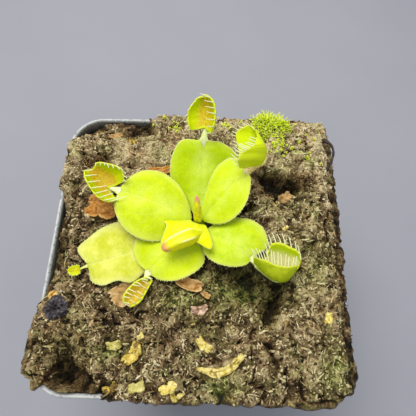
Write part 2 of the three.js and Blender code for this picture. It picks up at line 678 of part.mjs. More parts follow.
function soilRelief() {
  const points = [];
  const [cells, count] = [SOIL_CELLS, SOIL_CELLS + 1];
  const bottom = POT.floor + GAP;
  const square = SOIL_REACH - POT.rimCorner;
  const place = (i, j) => {
    const [x, y] = [(2 * i) / cells - 1, (2 * j) / cells - 1].map((p) => p * SOIL_REACH);
    const [cx, cy] = [clamp(x, -square, square), clamp(y, -square, square)];
    const reach = Math.hypot(x - cx, y - cy);
    const pull = reach > POT.rimCorner ? POT.rimCorner / reach : 1;
    return [cx + (x - cx) * pull, cy + (y - cy) * pull];
  };
  for (let i = 0; i < count; i++)
    for (let j = 0; j < count; j++) {
      const [x, y] = place(i, j);
      points.push(vec(x, y, RIM + ground(x, y)));
    }
  const faces = [];
  const at = (i, j) => i * count + j;
  for (let i = 0; i < cells; i++)
    for (let j = 0; j < cells; j++)
      faces.push(at(i, j), at(i + 1, j), at(i + 1, j + 1), at(i, j), at(i + 1, j + 1), at(i, j + 1));
  const edge = [];
  for (let i = 0; i < cells; i++) edge.push(at(i, 0));
  for (let j = 0; j < cells; j++) edge.push(at(cells, j));
  for (let i = cells; i > 0; i--) edge.push(at(i, cells));
  for (let j = cells; j > 0; j--) edge.push(at(0, j));
  const low = points.length;
  for (const top of edge) points.push(vec(points[top].x, points[top].y, bottom));
  const middle = points.push(vec(0, 0, bottom)) - 1;
  edge.forEach((top, k) => {
    const next = (k + 1) % edge.length;
    faces.push(top, low + k, low + next, top, low + next, edge[next]);
    faces.push(middle, low + next, low + k);
  });
  return solid(geometryOf(points, faces));
}

// Inside the pot the soil fills it, and above the rim it may spread over the rim.
function makeSoil(hollows) {
  const bandFoot = RIM - POT.band;
  const bottom = POT.floor + GAP;
  const filling = loft([
    inside(bottom, GAP + 1.2),
    inside(bottom + 1.4, GAP),
    inside(bandFoot - 0.7, GAP + 0.3),
    inside(bandFoot + 1.3, GAP + 0.1),
    inside(RIM - 1.6, GAP + 0.2),
    outside(RIM + GAP, -POT.wall - GAP - 0.3),
    outside(RIM + 30, -POT.wall - GAP - 0.3),
  ]);
  const heap = loft([outside(RIM + GAP, 5), outside(RIM + 30, 5)]);
  let soil = soilRelief().intersect(filling.add(heap));
  for (const hollow of hollows) soil = soil.subtract(hollow);
  return largest(soil);
}

// ---- The part ----

const part = new THREE.Group();

function add(name, body, colour, roughness) {
  const mesh = body.getMesh();
  const geometry = new THREE.BufferGeometry();
  geometry.setAttribute("position", new THREE.BufferAttribute(mesh.vertProperties, 3));
  geometry.setIndex(new THREE.BufferAttribute(mesh.triVerts, 1));
  geometry.computeVertexNormals();
  const material = new THREE.MeshStandardMaterial({ color: COLOURS[colour], roughness, metalness: 0 });
  const piece = new THREE.Mesh(geometry, material);
  piece.name = name;
  part.add(piece);
}

add("pot", makePot(), "pot", 0.45);
add(
  "soil",
  makeSoil([
    rhizomeSolid(GAP),
    ...MOSS.map((tuft) => mossCushion(tuft, GAP)),
    ...FLAKES.map((flake) => flakeSolid(flake, GAP)),
    ...LUMP_PIECES.map((lump) => lumpSolid(lump, GAP)),
    fibreSolid(GAP),
  ]),
  "soil",
  0.95,
);
add("rhizome", rhizomeSolid(0), "rhizome", 0.6);
for (const leaf of LEAVES) add(leaf.name, makeLeaf(leaf), leaf.name === "leaf_young" ? "youngLeaf" : "leaf", 0.4);
add("leaf_spear", makeBud(SPEAR), "youngLeaf", 0.4);
for (const tuft of MOSS) add(tuft.name, makeMoss(tuft), "moss", 0.8);
for (const flake of FLAKES) add(flake.name, flakeSolid(flake, 0), flake.colour, 0.8);
for (const lump of LUMP_PIECES) add(lump.name, lumpSolid(lump, 0), lump.colour, 0.9);
add("root_fibre", fibreSolid(0), "dark", 0.9);

export default part;
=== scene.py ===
"""The looks of a potted venus flytrap: eight leaves with their traps in a square nursery pot of peat.

Shapes are worked out in millimetres in the part's own frame, and every mesh is written in metres. Heights on
the plant and its soil are counted from the pot's rim.
"""
import math

import bpy
import numpy as np
from mathutils import Matrix, Vector


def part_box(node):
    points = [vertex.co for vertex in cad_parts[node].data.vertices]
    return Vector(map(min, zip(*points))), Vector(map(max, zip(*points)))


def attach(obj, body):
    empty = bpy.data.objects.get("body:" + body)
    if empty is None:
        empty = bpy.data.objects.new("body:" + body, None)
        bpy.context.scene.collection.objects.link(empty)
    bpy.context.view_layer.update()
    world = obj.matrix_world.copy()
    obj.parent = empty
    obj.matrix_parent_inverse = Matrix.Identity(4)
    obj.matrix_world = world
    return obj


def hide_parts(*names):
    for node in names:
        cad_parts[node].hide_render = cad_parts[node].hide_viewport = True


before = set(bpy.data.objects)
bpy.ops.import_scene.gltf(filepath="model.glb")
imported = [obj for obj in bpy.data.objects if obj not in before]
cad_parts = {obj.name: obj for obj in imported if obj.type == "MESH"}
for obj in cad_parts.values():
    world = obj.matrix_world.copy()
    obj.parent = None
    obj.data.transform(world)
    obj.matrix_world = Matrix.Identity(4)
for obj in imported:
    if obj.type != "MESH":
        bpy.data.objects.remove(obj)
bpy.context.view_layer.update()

MM = 0.001
BODY = "root"
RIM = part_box("pot")[1].z / MM
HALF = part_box("pot")[1].x / MM  # half of the pot's outer width at its rim

# ---- Small numeric helpers ----


def mix(a, b, t):
    return a + (b - a) * t


def stack(*parts):
    """Arrays of the same form put side by side, as coordinates or faces."""
    return np.stack(parts, -1)


def ring(x, y, radius, angle, z):
    """Points round (x, y) at a height."""
    x, y = x + radius * np.cos(angle), y + radius * np.sin(angle)
    return stack(x, y, np.broadcast_to(z, x.shape))


def smooth(low, high, value):
    t = np.clip((value - low) / (high - low), 0, 1)
    return t * t * (3 - 2 * t)


def unit(vectors):
    return vectors / np.maximum(np.linalg.norm(vectors, axis=-1, keepdims=True), 1e-9)


def flat_way(degrees):
    turn = np.radians(degrees)
    return stack(np.cos(turn), np.sin(turn), np.zeros_like(turn))


def circle(count):
    """Even angles all round."""
    return np.linspace(0, 2 * np.pi, count, endpoint=False)


def offset(x, y, at_x, at_y, along, across, degrees):
    """How far (x, y) lies from a place, as shares of its reach along and across a turned way."""
    turn = math.radians(degrees)
    dx, dy = x - at_x, y - at_y
    a = (dx * math.cos(turn) + dy * math.sin(turn)) / along
    b = (dy * math.cos(turn) - dx * math.sin(turn)) / across
    return a, b


def bent(start, knee, end, t):
    """A quadratic curve from start to end, drawn towards the knee."""
    return (1 - t) ** 2 * start + 2 * t * (1 - t) * knee + t * t * end


def lattice(i, j):
    value = np.sin(i * 127.1 + j * 311.7) * 43758.5453
    return value - np.floor(value)


def noise(x, y):
    """Smooth noise from -1 to 1 on a unit lattice, the one that the part's soil and litter are shaped by."""
    i, j = np.floor(x), np.floor(y)
    sx, sy = smooth(0, 1, x - i), smooth(0, 1, y - j)
    near = mix(lattice(i, j), lattice(i + 1, j), sx)
    far = mix(lattice(i, j + 1), lattice(i + 1, j + 1), sx)
    return 2 * mix(near, far, sy) - 1


def crumbs(x, y, size, seed):
    """Height from 0 to 1 over close-packed rounded crumbs, and a random value of each crumb."""
    x, y = x / size, y / size
    i, j = np.floor(x), np.floor(y)
    best, own = np.full(x.shape, 9.0), np.zeros(x.shape)
    for di in (-1, 0, 1):
        for dj in (-1, 0, 1):
            a, b = i + di + seed, j + dj
            reach = (i + di + lattice(a, b) - x) ** 2 + (j + dj + lattice(b, a + 7.3) - y) ** 2
            own = np.where(reach < best, lattice(a + 3.1, b + 5.7), own)
            best = np.minimum(best, reach)
    return np.clip(1 - best, 0, 1), own


# ---- Meshes ----


class Shape:
    """Closed surfaces gathered into one mesh, with values for the finish at each point."""

    def __init__(self):
        self.points, self.faces, self.finish = [], [], []
        self.values = {"grow": [], "tint": []}
        self.count = 0

    def add(self, points, faces, grow=(0, 0, 0), tint=0.5, finish=0):
        points = np.asarray(points, float).reshape(-1, 3)
        for block in faces:
            self.faces.append(block + self.count)
            self.finish.append(np.full(len(block), finish))
        self.points.append(points)
        self.values["grow"].append(np.broadcast_to(np.reshape(grow, (-1, 3)), points.shape))
        self.values["tint"].append(np.broadcast_to(np.ravel(tint), len(points)))
        self.count += len(points)
        return self

    def piece(self, name, slot, finishes, replaces=(), sharp=180):
        """The finished object: sharp is the angle past which an edge isn't smoothed."""
        mesh = bpy.data.meshes.new(name)
        corners = np.concatenate([block.ravel() for block in self.faces])
        sizes = np.concatenate([np.full(len(block), block.shape[1]) for block in self.faces])
        mesh.vertices.add(self.count)
        mesh.vertices.foreach_set("co", np.concatenate(self.points).ravel() * MM)
        mesh.loops.add(len(corners))
        mesh.loops.foreach_set("vertex_index", corners)
        mesh.polygons.add(len(sizes))
        mesh.polygons.foreach_set("loop_start", np.cumsum(sizes) - sizes)
        mesh.polygons.foreach_set("material_index", np.concatenate(self.finish))
        mesh.update(calc_edges=True)
        mesh.validate()
        grow = mesh.attributes.new("grow", "FLOAT_VECTOR", "POINT")
        grow.data.foreach_set("vector", np.concatenate(self.values["grow"]).ravel())
        tint = mesh.attributes.new("tint", "FLOAT", "POINT")
        tint.data.foreach_set("value", np.concatenate(self.values["tint"]))
        mesh.shade_smooth()
        if sharp < 180:
            mesh.set_sharp_from_angle(angle=math.radians(sharp))
        for finish in finishes:
            mesh.materials.append(finish)
        thing = bpy.data.objects.new(name, mesh)
        bpy.context.scene.collection.objects.link(thing)
        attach(thing, BODY)
        if replaces:
            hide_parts(*replaces)
        return thing


def tubes(paths, radii, sides=3):
    """Tapered rods along many paths at once: paths is rods x steps x 3 and radii is rods x steps."""
    rods, steps = radii.shape
    ahead = unit(np.gradient(paths, axis=1))
    helper = np.eye(3)[np.abs(ahead.mean(axis=1)).argmin(axis=1)]
    normal = unit(np.cross(ahead, helper[:, None]))
    binormal = np.cross(ahead, normal)
    angle = 2 * np.pi * np.arange(sides)[:, None] / sides
    ring = normal[:, :, None] * np.cos(angle) + binormal[:, :, None] * np.sin(angle)
    points = paths[:, :, None] + radii[:, :, None, None] * ring
    index = np.arange(rods * steps * sides).reshape(rods, steps, sides)
    after = np.roll(index, -1, axis=2)
    walls = stack(index[:, :-1], after[:, :-1], after[:, 1:], index[:, 1:])
    caps = np.concatenate([index[:, 0, ::-1], index[:, -1]])
    return points.reshape(-1, 3), [walls.reshape(-1, 4), caps]


def quads(index):
    """The faces of a grid of point numbers."""
    corners = (index[:-1, :-1], index[1:, :-1], index[1:, 1:], index[:-1, 1:])
    return stack(*(c.ravel() for c in corners))


def grid_rim(index):
    """The point numbers all round the edge of a grid of them."""
    return np.concatenate([index[:-1, 0], index[-1, :-1], index[:0:-1, -1], index[0, :0:-1]])


def ribbon(first, second):
    """The faces between two rings of point numbers."""
    return stack(first, second, np.roll(second, -1), np.roll(first, -1))


def from_middle(v):
    """0 in the middle of a sheet and 1 at both of its edges."""
    return np.abs(2 * v - 1)


def sheet(middle, nu, nv, thickness):
    """A sheet over the surface middle(u, v), with u, v and the side, 1 or 0, of each of its points."""
    u, v = np.meshgrid(np.linspace(0, 1, nu + 1), np.linspace(0, 1, nv + 1), indexing="ij")
    centre = middle(u, v)
    normal = unit(np.cross(np.gradient(centre, axis=0), np.gradient(centre, axis=1)))
    lift = normal * thickness(u, v)[..., None] / 2
    points = np.stack([centre + lift, centre - lift])
    top, low = np.arange(2 * u.size).reshape(2, nu + 1, nv + 1)
    faces = [quads(top), quads(low)[:, [0, 3, 2, 1]], ribbon(grid_rim(top), grid_rim(low))]
    side = np.stack([np.ones(u.shape), np.zeros(u.shape)])
    return points, faces, (np.stack([u, u]), np.stack([v, v]), side)


def lathe(rings):
    """A closed skin over rings with the same number of points, which run anticlockwise from the end."""
    rings = np.asarray(rings, float)
    levels, count = rings.shape[:2]
    index = np.arange(levels * count).reshape(levels, count)
    after = np.roll(index, -1, axis=1)
    walls = stack(index[:-1], after[:-1], after[1:], index[1:]).reshape(-1, 4)
    caps = np.stack([index[0, ::-1], index[-1]])
    return rings.reshape(-1, 3), [walls, caps]


# ---- Finishes ----


def rgb(code):
    """A colour written as 0xRRGGBB, as the shader wants it."""
    parts = [(code >> shift & 255) / 255 for shift in (16, 8, 0)]
    return [c / 12.92 if c <= 0.04045 else ((c + 0.055) / 1.055) ** 2.4 for c in parts] + [1]


class Finish:
    """A procedural material. Sizes of its textures are in millimetres."""

    def __init__(self, name, roughness=0.5, **constants):
        self.material = bpy.data.materials.new(name)
        self.material.use_nodes = True
        self.tree = self.material.node_tree
        self.shader = self.tree.nodes["Principled BSDF"]
        self.shader.inputs["Roughness"].default_value = roughness
        for socket, value in constants.items():
            self.shader.inputs[socket.replace("_", " ")].default_value = value
        self.place = self.tree.nodes.new("ShaderNodeTexCoord").outputs["Object"]

    def node(self, kind, inputs, output=0, **settings):
        node = self.tree.nodes.new(kind)
        for key, value in settings.items():
            setattr(node, key, value)
        for key, value in inputs.items():
            if isinstance(value, bpy.types.NodeSocket):
                self.tree.links.new(value, node.inputs[key])
            else:
                node.inputs[key].default_value = value
        return node.outputs[output]

    def value(self, name, output="Fac"):
        return self.node("ShaderNodeAttribute", {}, output, attribute_name=name)

    def parts(self, vector):
        node = self.tree.nodes.new("ShaderNodeSeparateXYZ")
        self.tree.links.new(vector, node.inputs[0])
        return node.outputs

    def grow(self):
        """The three values that a shape gives to each of its points."""
        return self.parts(self.value("grow", "Vector"))

    def math(self, operation, *values):
        return self.node("ShaderNodeMath", dict(enumerate(values)), operation=operation)

    def times(self, a, b):
        return self.math("MULTIPLY", a, b)

    def height(self):
        """The height over the pot's base in millimetres."""
        return self.times(self.parts(self.place)[2], 1 / MM)

    def blotches(self, size, detail=3, rough=0.55, place=None, distortion=0.0):
        inputs = {"Vector": place or self.place, "Scale": 1 / (size * MM), "Detail": detail}
        inputs |= {"Roughness": rough, "Distortion": distortion}
        return self.node("ShaderNodeTexNoise", inputs, "Fac")

    def streaks(self, along, across, stretch, scale, rough):
        """Noise that runs along a leaf: a stretch below 1 draws it out, and one above 1 shortens it."""
        place = self.node("ShaderNodeCombineXYZ", {"X": self.times(along, stretch), "Y": across})
        inputs = {"Vector": place, "Scale": scale, "Detail": 4.0, "Roughness": rough}
        return self.node("ShaderNodeTexNoise", inputs, "Fac")

    def span(self, value, low, high):
        """value from low to high as 0 to 1, or from 1 to 0 where low is above high."""
        inputs = {"Value": value, "From Min": low, "From Max": high}
        return self.node("ShaderNodeMapRange", inputs, interpolation_type="SMOOTHSTEP")

    def stretched(self, scale):
        return self.node("ShaderNodeMapping", {"Vector": self.place, "Scale": scale})

    def mixed(self, share, a, b, most=1):
        """From colour a to b as share goes from 0 to 1, or to as much as most. Both may be colour codes."""
        node = self.tree.nodes.new("ShaderNodeMix")
        node.data_type = "RGBA"
        share = share if most == 1 else self.times(share, most)
        for key, value in (("Factor", share), ("A", a), ("B", b)):
            socket = next(s for s in node.inputs if s.name == key and (key == "Factor" or s.type == "RGBA"))
            if isinstance(value, int):
                socket.default_value = rgb(value)
            else:
                self.tree.links.new(value, socket)
        return next(s for s in node.outputs if s.type == "RGBA")

    def ramp(self, value, stops):
        node = self.tree.nodes.new("ShaderNodeValToRGB")
        elements = node.color_ramp.elements
        while len(elements) < len(stops):
            elements.new(1)
        for element, (place, colour) in zip(elements, stops):
            element.position, element.color = place, rgb(colour)
        self.tree.links.new(value, node.inputs[0])
        return node.outputs[0]

    def done(self, colour, bump=(), roughness=None):
        """bump is pairs of a height from 0 to 1 and its size in millimetres."""
        self.tree.links.new(colour, self.shader.inputs["Base Color"])
        if roughness:
            self.tree.links.new(roughness, self.shader.inputs["Roughness"])
        below = {}
        for height, size in bump:
            inputs = {"Height": height, "Distance": size * MM, "Strength": 1.0}
            below = {"Normal": self.node("ShaderNodeBump", inputs | below)}
        if below:
            self.tree.links.new(below["Normal"], self.shader.inputs["Normal"])
        return self.material


def soft(name, roughness, weight, depth=1.2, **constants):
    """A finish of thin living tissue, which some light goes through."""
    made = Finish(name, roughness, Subsurface_Weight=weight, Subsurface_Scale=depth * MM, **constants)
    made.shader.inputs["Subsurface Radius"].default_value = (1.0, 1.0, 0.25)
    return made


def blade_finish(name, main, fresh, pale):
    """A blade: main colour, fresh blotches, a pale margin, and painted sheen: a pale midrib and a fine hatch
    next to it.
    """
    f = soft(name, 0.5, 0.3, Specular_IOR_Level=0.06)
    along, across, share = f.grow()
    out = f.math("ABSOLUTE", across)
    colour = f.mixed(f.span(f.blotches(5.5), 0.35, 0.7), main, fresh)
    # Painted sheen: a pale strip along the midrib.
    colour = f.mixed(f.times(f.span(out, 0.5, 0.1), f.span(along, 3, 16)), colour, pale, 0.25)
    hatch = f.streaks(along, across, 2.6, 1.5, 0.65)
    # Painted sheen: a pale hatch, 0xF0F69A, in blotches next to the midrib.
    sheen_beside_rib = f.times(f.span(out, 6.5, 0.4), f.span(f.blotches(4.2, 2), 0.25, 0.75))
    sheen_hatch = f.math("MULTIPLY_ADD", f.span(hatch, 0.4, 0.7), 0.36, 0.16)
    colour = f.mixed(f.times(sheen_beside_rib, sheen_hatch), colour, 0xF0F69A)
    dimples = f.blotches(0.75, 3, 0.6)
    colour = f.mixed(f.span(dimples, 0.48, 0.66), colour, pale, 0.18)
    colour = f.mixed(f.span(share, 0.7, 1.0), colour, pale, 0.35)
    colour = f.mixed(f.span(share, 0.96, 0.99), colour, 0xE9EE8C)
    return f.done(colour, [(dimples, 0.07), (hatch, 0.03)], f.span(f.blotches(1.6), -0.4, 1.5))


def trap_finish(name, inside, band, outside, green):
    """A trap's lobes: flushed inside from the midrib to where the green starts, and plain outside."""
    f = soft(name, 0.45, 0.25, 0.9, Specular_IOR_Level=0.15)
    share = f.grow()[2]
    speck = f.blotches(0.5, 2)
    flush = f.mixed(f.span(speck, 0.38, 0.68), inside, band)
    outwards = f.math("ADD", share, f.times(speck, 0.16))
    inner = f.mixed(f.span(outwards, *green), flush, outside)
    outer = f.mixed(f.span(f.blotches(3.0), 0.35, 0.7), outside, 0xD6E62A)
    colour = f.mixed(f.value("tint"), outer, inner)
    colour = f.mixed(f.span(share, 0.95, 0.99), colour, 0xDDE62E)
    return f.done(colour, [(speck, 0.05), (f.blotches(0.25, 1), 0.02)])


def tooth_finish():
    f = soft("tooth", 0.35, 0.2, 0.4)
    colour = f.ramp(f.value("tint"), [(0.0, 0xE3EC5C), (0.4, 0xF2F4B4), (1.0, 0xFBF9E0)])
    return f.done(f.mixed(f.blotches(0.6), colour, 0xE9EFA6))


def neck_finish(name, colour, flush):
    f = soft(name, 0.4, 0.25, 0.8)
    streak = f.blotches(0.5, 3, place=f.stretched((1, 1, 0.4)))
    return f.done(f.mixed(f.span(streak, 0.4, 0.7), colour, flush), [(streak, 0.03)])


def bud_finish(name, side, seam, tip):
    """A folded trap: pale along its seam and pink at its tip."""
    f = soft(name, 0.42, 0.3, Specular_IOR_Level=0.35)
    along, _, share = f.grow()
    colour = f.mixed(f.span(f.blotches(1.2), 0.3, 0.7), side, 0xEDEE08)
    colour = f.mixed(f.span(share, 0.5, 1.0), colour, seam)
    return f.done(f.mixed(f.span(along, 0.78, 0.96), colour, tip), [(f.blotches(0.4), 0.04)])


def green_film(f):
    """Where algae and moss film tint the peat, from 0 to 1."""
    patches = f.times(f.span(f.blotches(7, 5, 0.65), 0.48, 0.64), 0.3)
    film = f.math("MULTIPLY_ADD", f.span(f.blotches(1.3, 3, 0.6), 0.5, 0.62), 0.3, patches)
    return f.math("MAXIMUM", film, f.grow()[0])


def soil_finish():
    """Damp peat: brown crumbs, painted dark between them as shade, with grey, tan and mossy green patches."""
    f = Finish("peat", 0.8, Specular_IOR_Level=0.15)
    grain = f.blotches(0.5, 4, 0.7)
    tone = f.math("ADD", f.times(f.value("tint"), 0.6), f.times(grain, 0.55))
    browns = [(0.34, 0x030201), (0.5, 0x1E1409), (0.64, 0x584329), (0.8, 0x98825E), (0.97, 0xD6C298)]
    greens = [(0.34, 0x020401), (0.52, 0x1A2008), (0.68, 0x50561E), (0.92, 0x9CA24E)]
    colour = f.mixed(green_film(f), f.ramp(tone, browns), f.ramp(tone, greens))
    return f.done(colour, [(grain, 0.25), (f.blotches(0.22, 2), 0.1)], f.span(f.blotches(0.9), 0.1, 0.85))


def litter_finish():
    """Loose fibres and crumbs: each has its own tone, from black-brown over tan to straw and moss green, and
    painted light and shade from where it lies.
    """
    f = Finish("peat_litter", 0.75, Specular_IOR_Level=0.18)
    tone = f.value("tint")
    browns = [(0.0, 0x080401), (0.25, 0x2E1F0E), (0.48, 0x6E5535)]
    browns += [(0.68, 0xAA9068), (0.86, 0xD6C092), (1.0, 0xEADCB0)]
    rusts = [(0.0, 0x0A0502), (0.3, 0x3A2412), (0.6, 0x855E38), (0.85, 0xBE925E), (1.0, 0xE2C492)]
    greens = [(0.0, 0x050A03), (0.28, 0x26340E), (0.55, 0x62722C), (0.8, 0x9AA84A), (1.0, 0xC6CE7A)]
    earth = f.mixed(f.span(f.blotches(6.5, 4, 0.6), 0.5, 0.66), f.ramp(tone, browns), f.ramp(tone, rusts))
    colour = f.mixed(green_film(f), earth, f.ramp(tone, greens))
    grain = f.blotches(0.35, 3)
    colour = f.mixed(f.span(grain, 0.4, 0.7), colour, 0x2A2013, 0.45)
    return f.done(colour, [(grain, 0.12)])


def moss_finish():
    f = soft("moss", 0.5, 0.25, 0.5)
    greens = [(0.0, 0x9EC010), (0.4, 0xDAF41A), (0.75, 0xF0FC40), (1.0, 0xFAFEB0)]
    return f.done(f.mixed(f.span(f.blotches(1.4), 0.4, 0.7), f.ramp(f.value("tint"), greens), 0xE8FA2A))


def dead_leaf_finish(name, dark, main, light):
    """A dry leaf: darker veins, paler margins and paler papery patches."""
    f = Finish(name, 0.6, Specular_IOR_Level=0.4)
    along, across, share = f.grow()
    colour = f.ramp(f.blotches(1.6, 4, 0.65), [(0.3, dark), (0.5, main), (0.72, light)])
    vein = f.streaks(along, across, 0.22, 2.2, 0.7)
    colour = f.mixed(f.span(vein, 0.52, 0.66), colour, dark, 0.55)
    colour = f.mixed(f.span(share, 0.8, 1.0), colour, light, 0.4)
    return f.done(colour, [(vein, 0.2), (f.blotches(0.4, 3), 0.12)])


def chip_finish(name, dark, main, light, holes=0.55):
    """A crumbling chip: it is pitted dark where the noise of its flecks is above holes."""
    f = Finish(name, 0.65, Specular_IOR_Level=0.4)
    grain = f.blotches(1.3, 4, 0.6)
    fleck = f.span(f.blotches(1.6, 3, distortion=1.2), holes, holes + 0.1)
    colour = f.ramp(grain, [(0.3, dark), (0.42, main), (0.62, light)])
    return f.done(f.mixed(fleck, colour, dark, 0.8), [(grain, 0.25)])


def dark_finish(name, roughness, specular, size, tones, bump):
    """Dark litter with blotches of a size, and a bump as the size and the height of its noise."""
    f = Finish(name, roughness, Specular_IOR_Level=specular)
    return f.done(f.ramp(f.blotches(size, 4, 0.7), tones), [(f.blotches(bump[0], 3), bump[1])])


def pot_finish():
    """Dark satin plastic, pale along the rim's edge from wear and a painted highlight, with dusty grey and
    lime on the band and the walls, paler towards the rim partly as painted light.
    """
    f = Finish("pot_plastic", 0.45, Specular_IOR_Level=0.45)
    height = f.height()
    cloud, speck = f.blotches(7, 5, 0.65), f.blotches(0.8, 3, 0.7)
    colour = f.mixed(f.span(cloud, 0.35, 0.75), 0x25282A, 0x3D4143)
    # Paler towards the rim: dusty grey and lime, lightened as painted light where the inner wall is shaded,
    # and fading downwards as painted shade.
    dust_and_painted_light = f.times(f.span(f.math("ADD", height, f.times(cloud, 6)), RIM - 5, RIM + 4), 0.95)
    colour = f.mixed(f.times(dust_and_painted_light, f.span(speck, 0.28, 0.52)), colour, 0xA0A29E)
    corner = POT["rim_corner"]
    inner = (HALF - corner) * MM
    aside = [f.math("ABSOLUTE", p) for p in f.parts(f.place)[:2]]
    past = [f.math("MAXIMUM", f.math("SUBTRACT", p, inner), 0.0) for p in aside]
    out = f.math("SQRT", f.math("ADD", *[f.times(p, p) for p in past]))
    edge = f.span(out, (corner - 0.95) * MM, (corner - 0.45) * MM)
    # The rim's outer edge is pale partly from wear and partly as a painted highlight where its lip catches
    # the light.
    wear_and_highlight = f.times(f.span(height, RIM - 1.5, RIM - 0.4), f.span(f.blotches(3, 5, 0.7), 0.34, 0.52))
    colour = f.mixed(f.times(wear_and_highlight, edge), colour, 0xD2D3CE, 0.9)
    return f.done(colour, [(speck, 0.05), (f.blotches(0.2, 2), 0.015)], f.span(cloud, -0.2, 1.1))


def floor_finish():
    f = Finish("floor", 0.75)
    return f.done(f.mixed(f.blotches(60, 2), 0x9C9DA4, 0xA5A6AC), [(f.blotches(0.8, 2), 0.02)])


# ---- Soil ----

# Mounds and gullies: x, y, reach along and across, turn in degrees, height.
MOUNDS = [
    (28, -23, 10, 5, -60, 2.2),
    (40, -20, 16, 7, 90, 1.2),
    (36, 34, 14, 12, 0, 1.6),
    (12, 36, 22, 8, 0, 1.6),
    (10, -40, 30, 8, 0, 1.4),
    (-26, -27, 14, 10, 30, 1.2),
    (-41, -27, 8, 5, 90, 3.2),
    (-43, 25, 8, 4, 90, 3.2),
    (0, 5, 14, 10, 20, -2.1),
    (-20, -5, 17, 10, 15, -2.4),
    (27, 20, 7, 3.4, -25, -4),
    (14, -12, 12, 5, -25, -3.2),
    (22, -21, 8, 3.2, 80, -2.8),
    (-35, -39, 8, 4, -10, -5),
    (-35, 27, 7, 3.5, 30, -3.5),
    (-28, 13, 7, 4, -20, -1),
]
TILT = 0.045  # how much the soil rises to the right
LEVEL = 1.9  # how high it stands over the rim in the middle
EDGE = 0.9  # the most that it stands over the rim at the wall
LUMPS = [(8.5, 0.9), (4.6, 0.55)]  # size and height


def rosette_share(x, y):
    """0 under the middle of the rosette and 1 outside it, for what is lower under the leaves."""
    return smooth(12, 24, np.hypot(x + 5, y - 2))


def ground(x, y):
    """The part's own relief of the soil, as height above the rim."""
    z = LEVEL + TILT * x
    for *place, height in MOUNDS:
        a, b = offset(x, y, *place)
        z = z + height * np.exp(-a * a - b * b)
    for size, height in LUMPS:
        z = z + mix(0.35, 1, rosette_share(x, y)) * height * noise(x / size + 31.7, y / size + 11.3)
    # It is low along the left wall and in both corners on that side.
    z = z - 4.2 * smooth(32, 43, -x) * smooth(-17, -11, y) * smooth(17, 11, y)
    z = z - 5 * smooth(-10, -20, x) * smooth(35, 42, y)
    z = z - 2.4 * smooth(-12, -20, x) * smooth(38, 43, -y)
    edge = smooth(39, 45, np.maximum(np.abs(x), np.abs(y)))
    return mix(z, np.minimum(z, EDGE), edge)


# Thin flakes in the soil: node, x, y, half length, half width, turn, curl, tilt, then the key of their tones,
# thickness, how far they bow sideways, how slim they are, and the height of their folds.
FLAKES = [
    ("dead_leaf_left", -30.0, 10.6, 5.6, 4.1, -14, 0.9, 8, "brown", 0.35, 0.0, 0.92, 1.0),
    ("dead_leaf_tan", -19.8, -16.8, 4.2, 3.6, 24, 0.3, 0, "tan", 0.4, 0.3, 1.0, 0.25),
    ("dead_leaf_curled", -1.4, -13.6, 4.4, 2.0, -24, 2.0, -6, "golden", 0.4, 1.2, 0.8, 0.3),
    ("dead_leaf_behind", -12.6, 23.4, 3.6, 1.9, 8, 0.6, 0, "brown", 0.4, 0.4, 0.9, 0.25),
    ("chip_curved", 8.6, -36.4, 5.8, 1.8, 18, 0.6, 0, "pale", 0.9, 2.6, 0.5, 0.15),
    ("chip_front_bright", -5.4, -41.6, 2.2, 1.5, 30, 0.3, 0, "bright", 0.9, 0.7, 0.8, 0.2),
    ("chip_front_left", -16, -33.2, 2.9, 2.3, 60, 0.4, 0, "mottled", 0.9, 0.8, 0.7, 0.25),
    ("chip_middle", 3.7, -30.6, 2.2, 1.5, -40, 0.3, 0, "pale", 0.8, 0.9, 0.75, 0.15),
    ("chip_corner_left", -14.2, -41.8, 2.0, 1.4, 10, 0.3, 0, "olive", 0.8, 0.3, 0.85, 0.15),
    ("chip_pale_right", 38, -22.8, 1.5, 1.2, 80, 0.2, 0, "bright", 0.7, 0.3, 0.7, 0.15),
    ("chip_pink", 2.2, -21, 2.3, 1.6, 10, 0.4, 0, "pink", 0.6, 0.9, 0.7, 0.5),
]
# Smaller chips that stand for none of the part's own, in the same way.
SMALL_CHIPS = [
    ("chip_extra_left", -21.3, -31.4, 1.9, 1.3, 10, 0.3, 0, "olive", 0.7, 0.3, 0.9, 0.2),
    ("chip_extra_corner", -21.3, -42.2, 1.7, 1.1, 30, 0.3, 0, "mottled", 0.9, 0.8, 0.7, 0.25),
    ("chip_extra_front", -3.4, -43.4, 1.5, 1.0, -20, 0.2, 0, "pale", 0.9, 2.6, 0.5, 0.15),
    ("chip_extra_white", 27.6, 3.6, 0.9, 0.45, 30, 0.2, 0, "bright", 0.7, 0.3, 0.7, 0.15),
    ("chip_extra_bit", -14.3, -28.6, 0.9, 0.7, 50, 0.2, 0, "pale", 0.8, 0.9, 0.75, 0.15),
    ("chip_extra_back", -29.2, 37.6, 2.2, 1.1, 12, 0.3, 0, "tan", 0.5, 0.3, 0.9, 0.2),
    ("chip_extra_back_curl", -23, 35.3, 1.6, 0.9, -20, 0.5, 0, "mottled", 0.9, 0.8, 0.7, 0.25),
    ("chip_extra_clod", 28.2, 14.2, 1.9, 1.4, 30, 0.5, 0, "tan", 1.2, 0.3, 0.9, 0.4),
    ("chip_extra_under", 3.8, -16.8, 1.3, 0.9, -35, 0.4, 0, "golden", 0.5, 0.2, 0.8, 0.3),
]
# Lumps: node, x, y, radius and height.
LUMP_PIECES = [("stone_golden", -41.4, -17.9, 1.5, 1.1), ("lump_dark", -39.6, -21.8, 2.8, 2.1)]

SOIL_CELLS = 300  # of the top's grid, along each side
SOIL_REACH = 44.7  # half of the width that the heaped soil spreads to
OVERHANG = 1.9  # how far clumps reach past that, over the pot's edge
# Where they reach further: x, y, reach, and how much further.
SPILLS = [(-46, -31, 8, 1.5), (-45, -39, 5, 0.6), (45, -39, 5, 0.9), (30, -45, 12, 0.5), (-1, -45, 7, 0.5)]
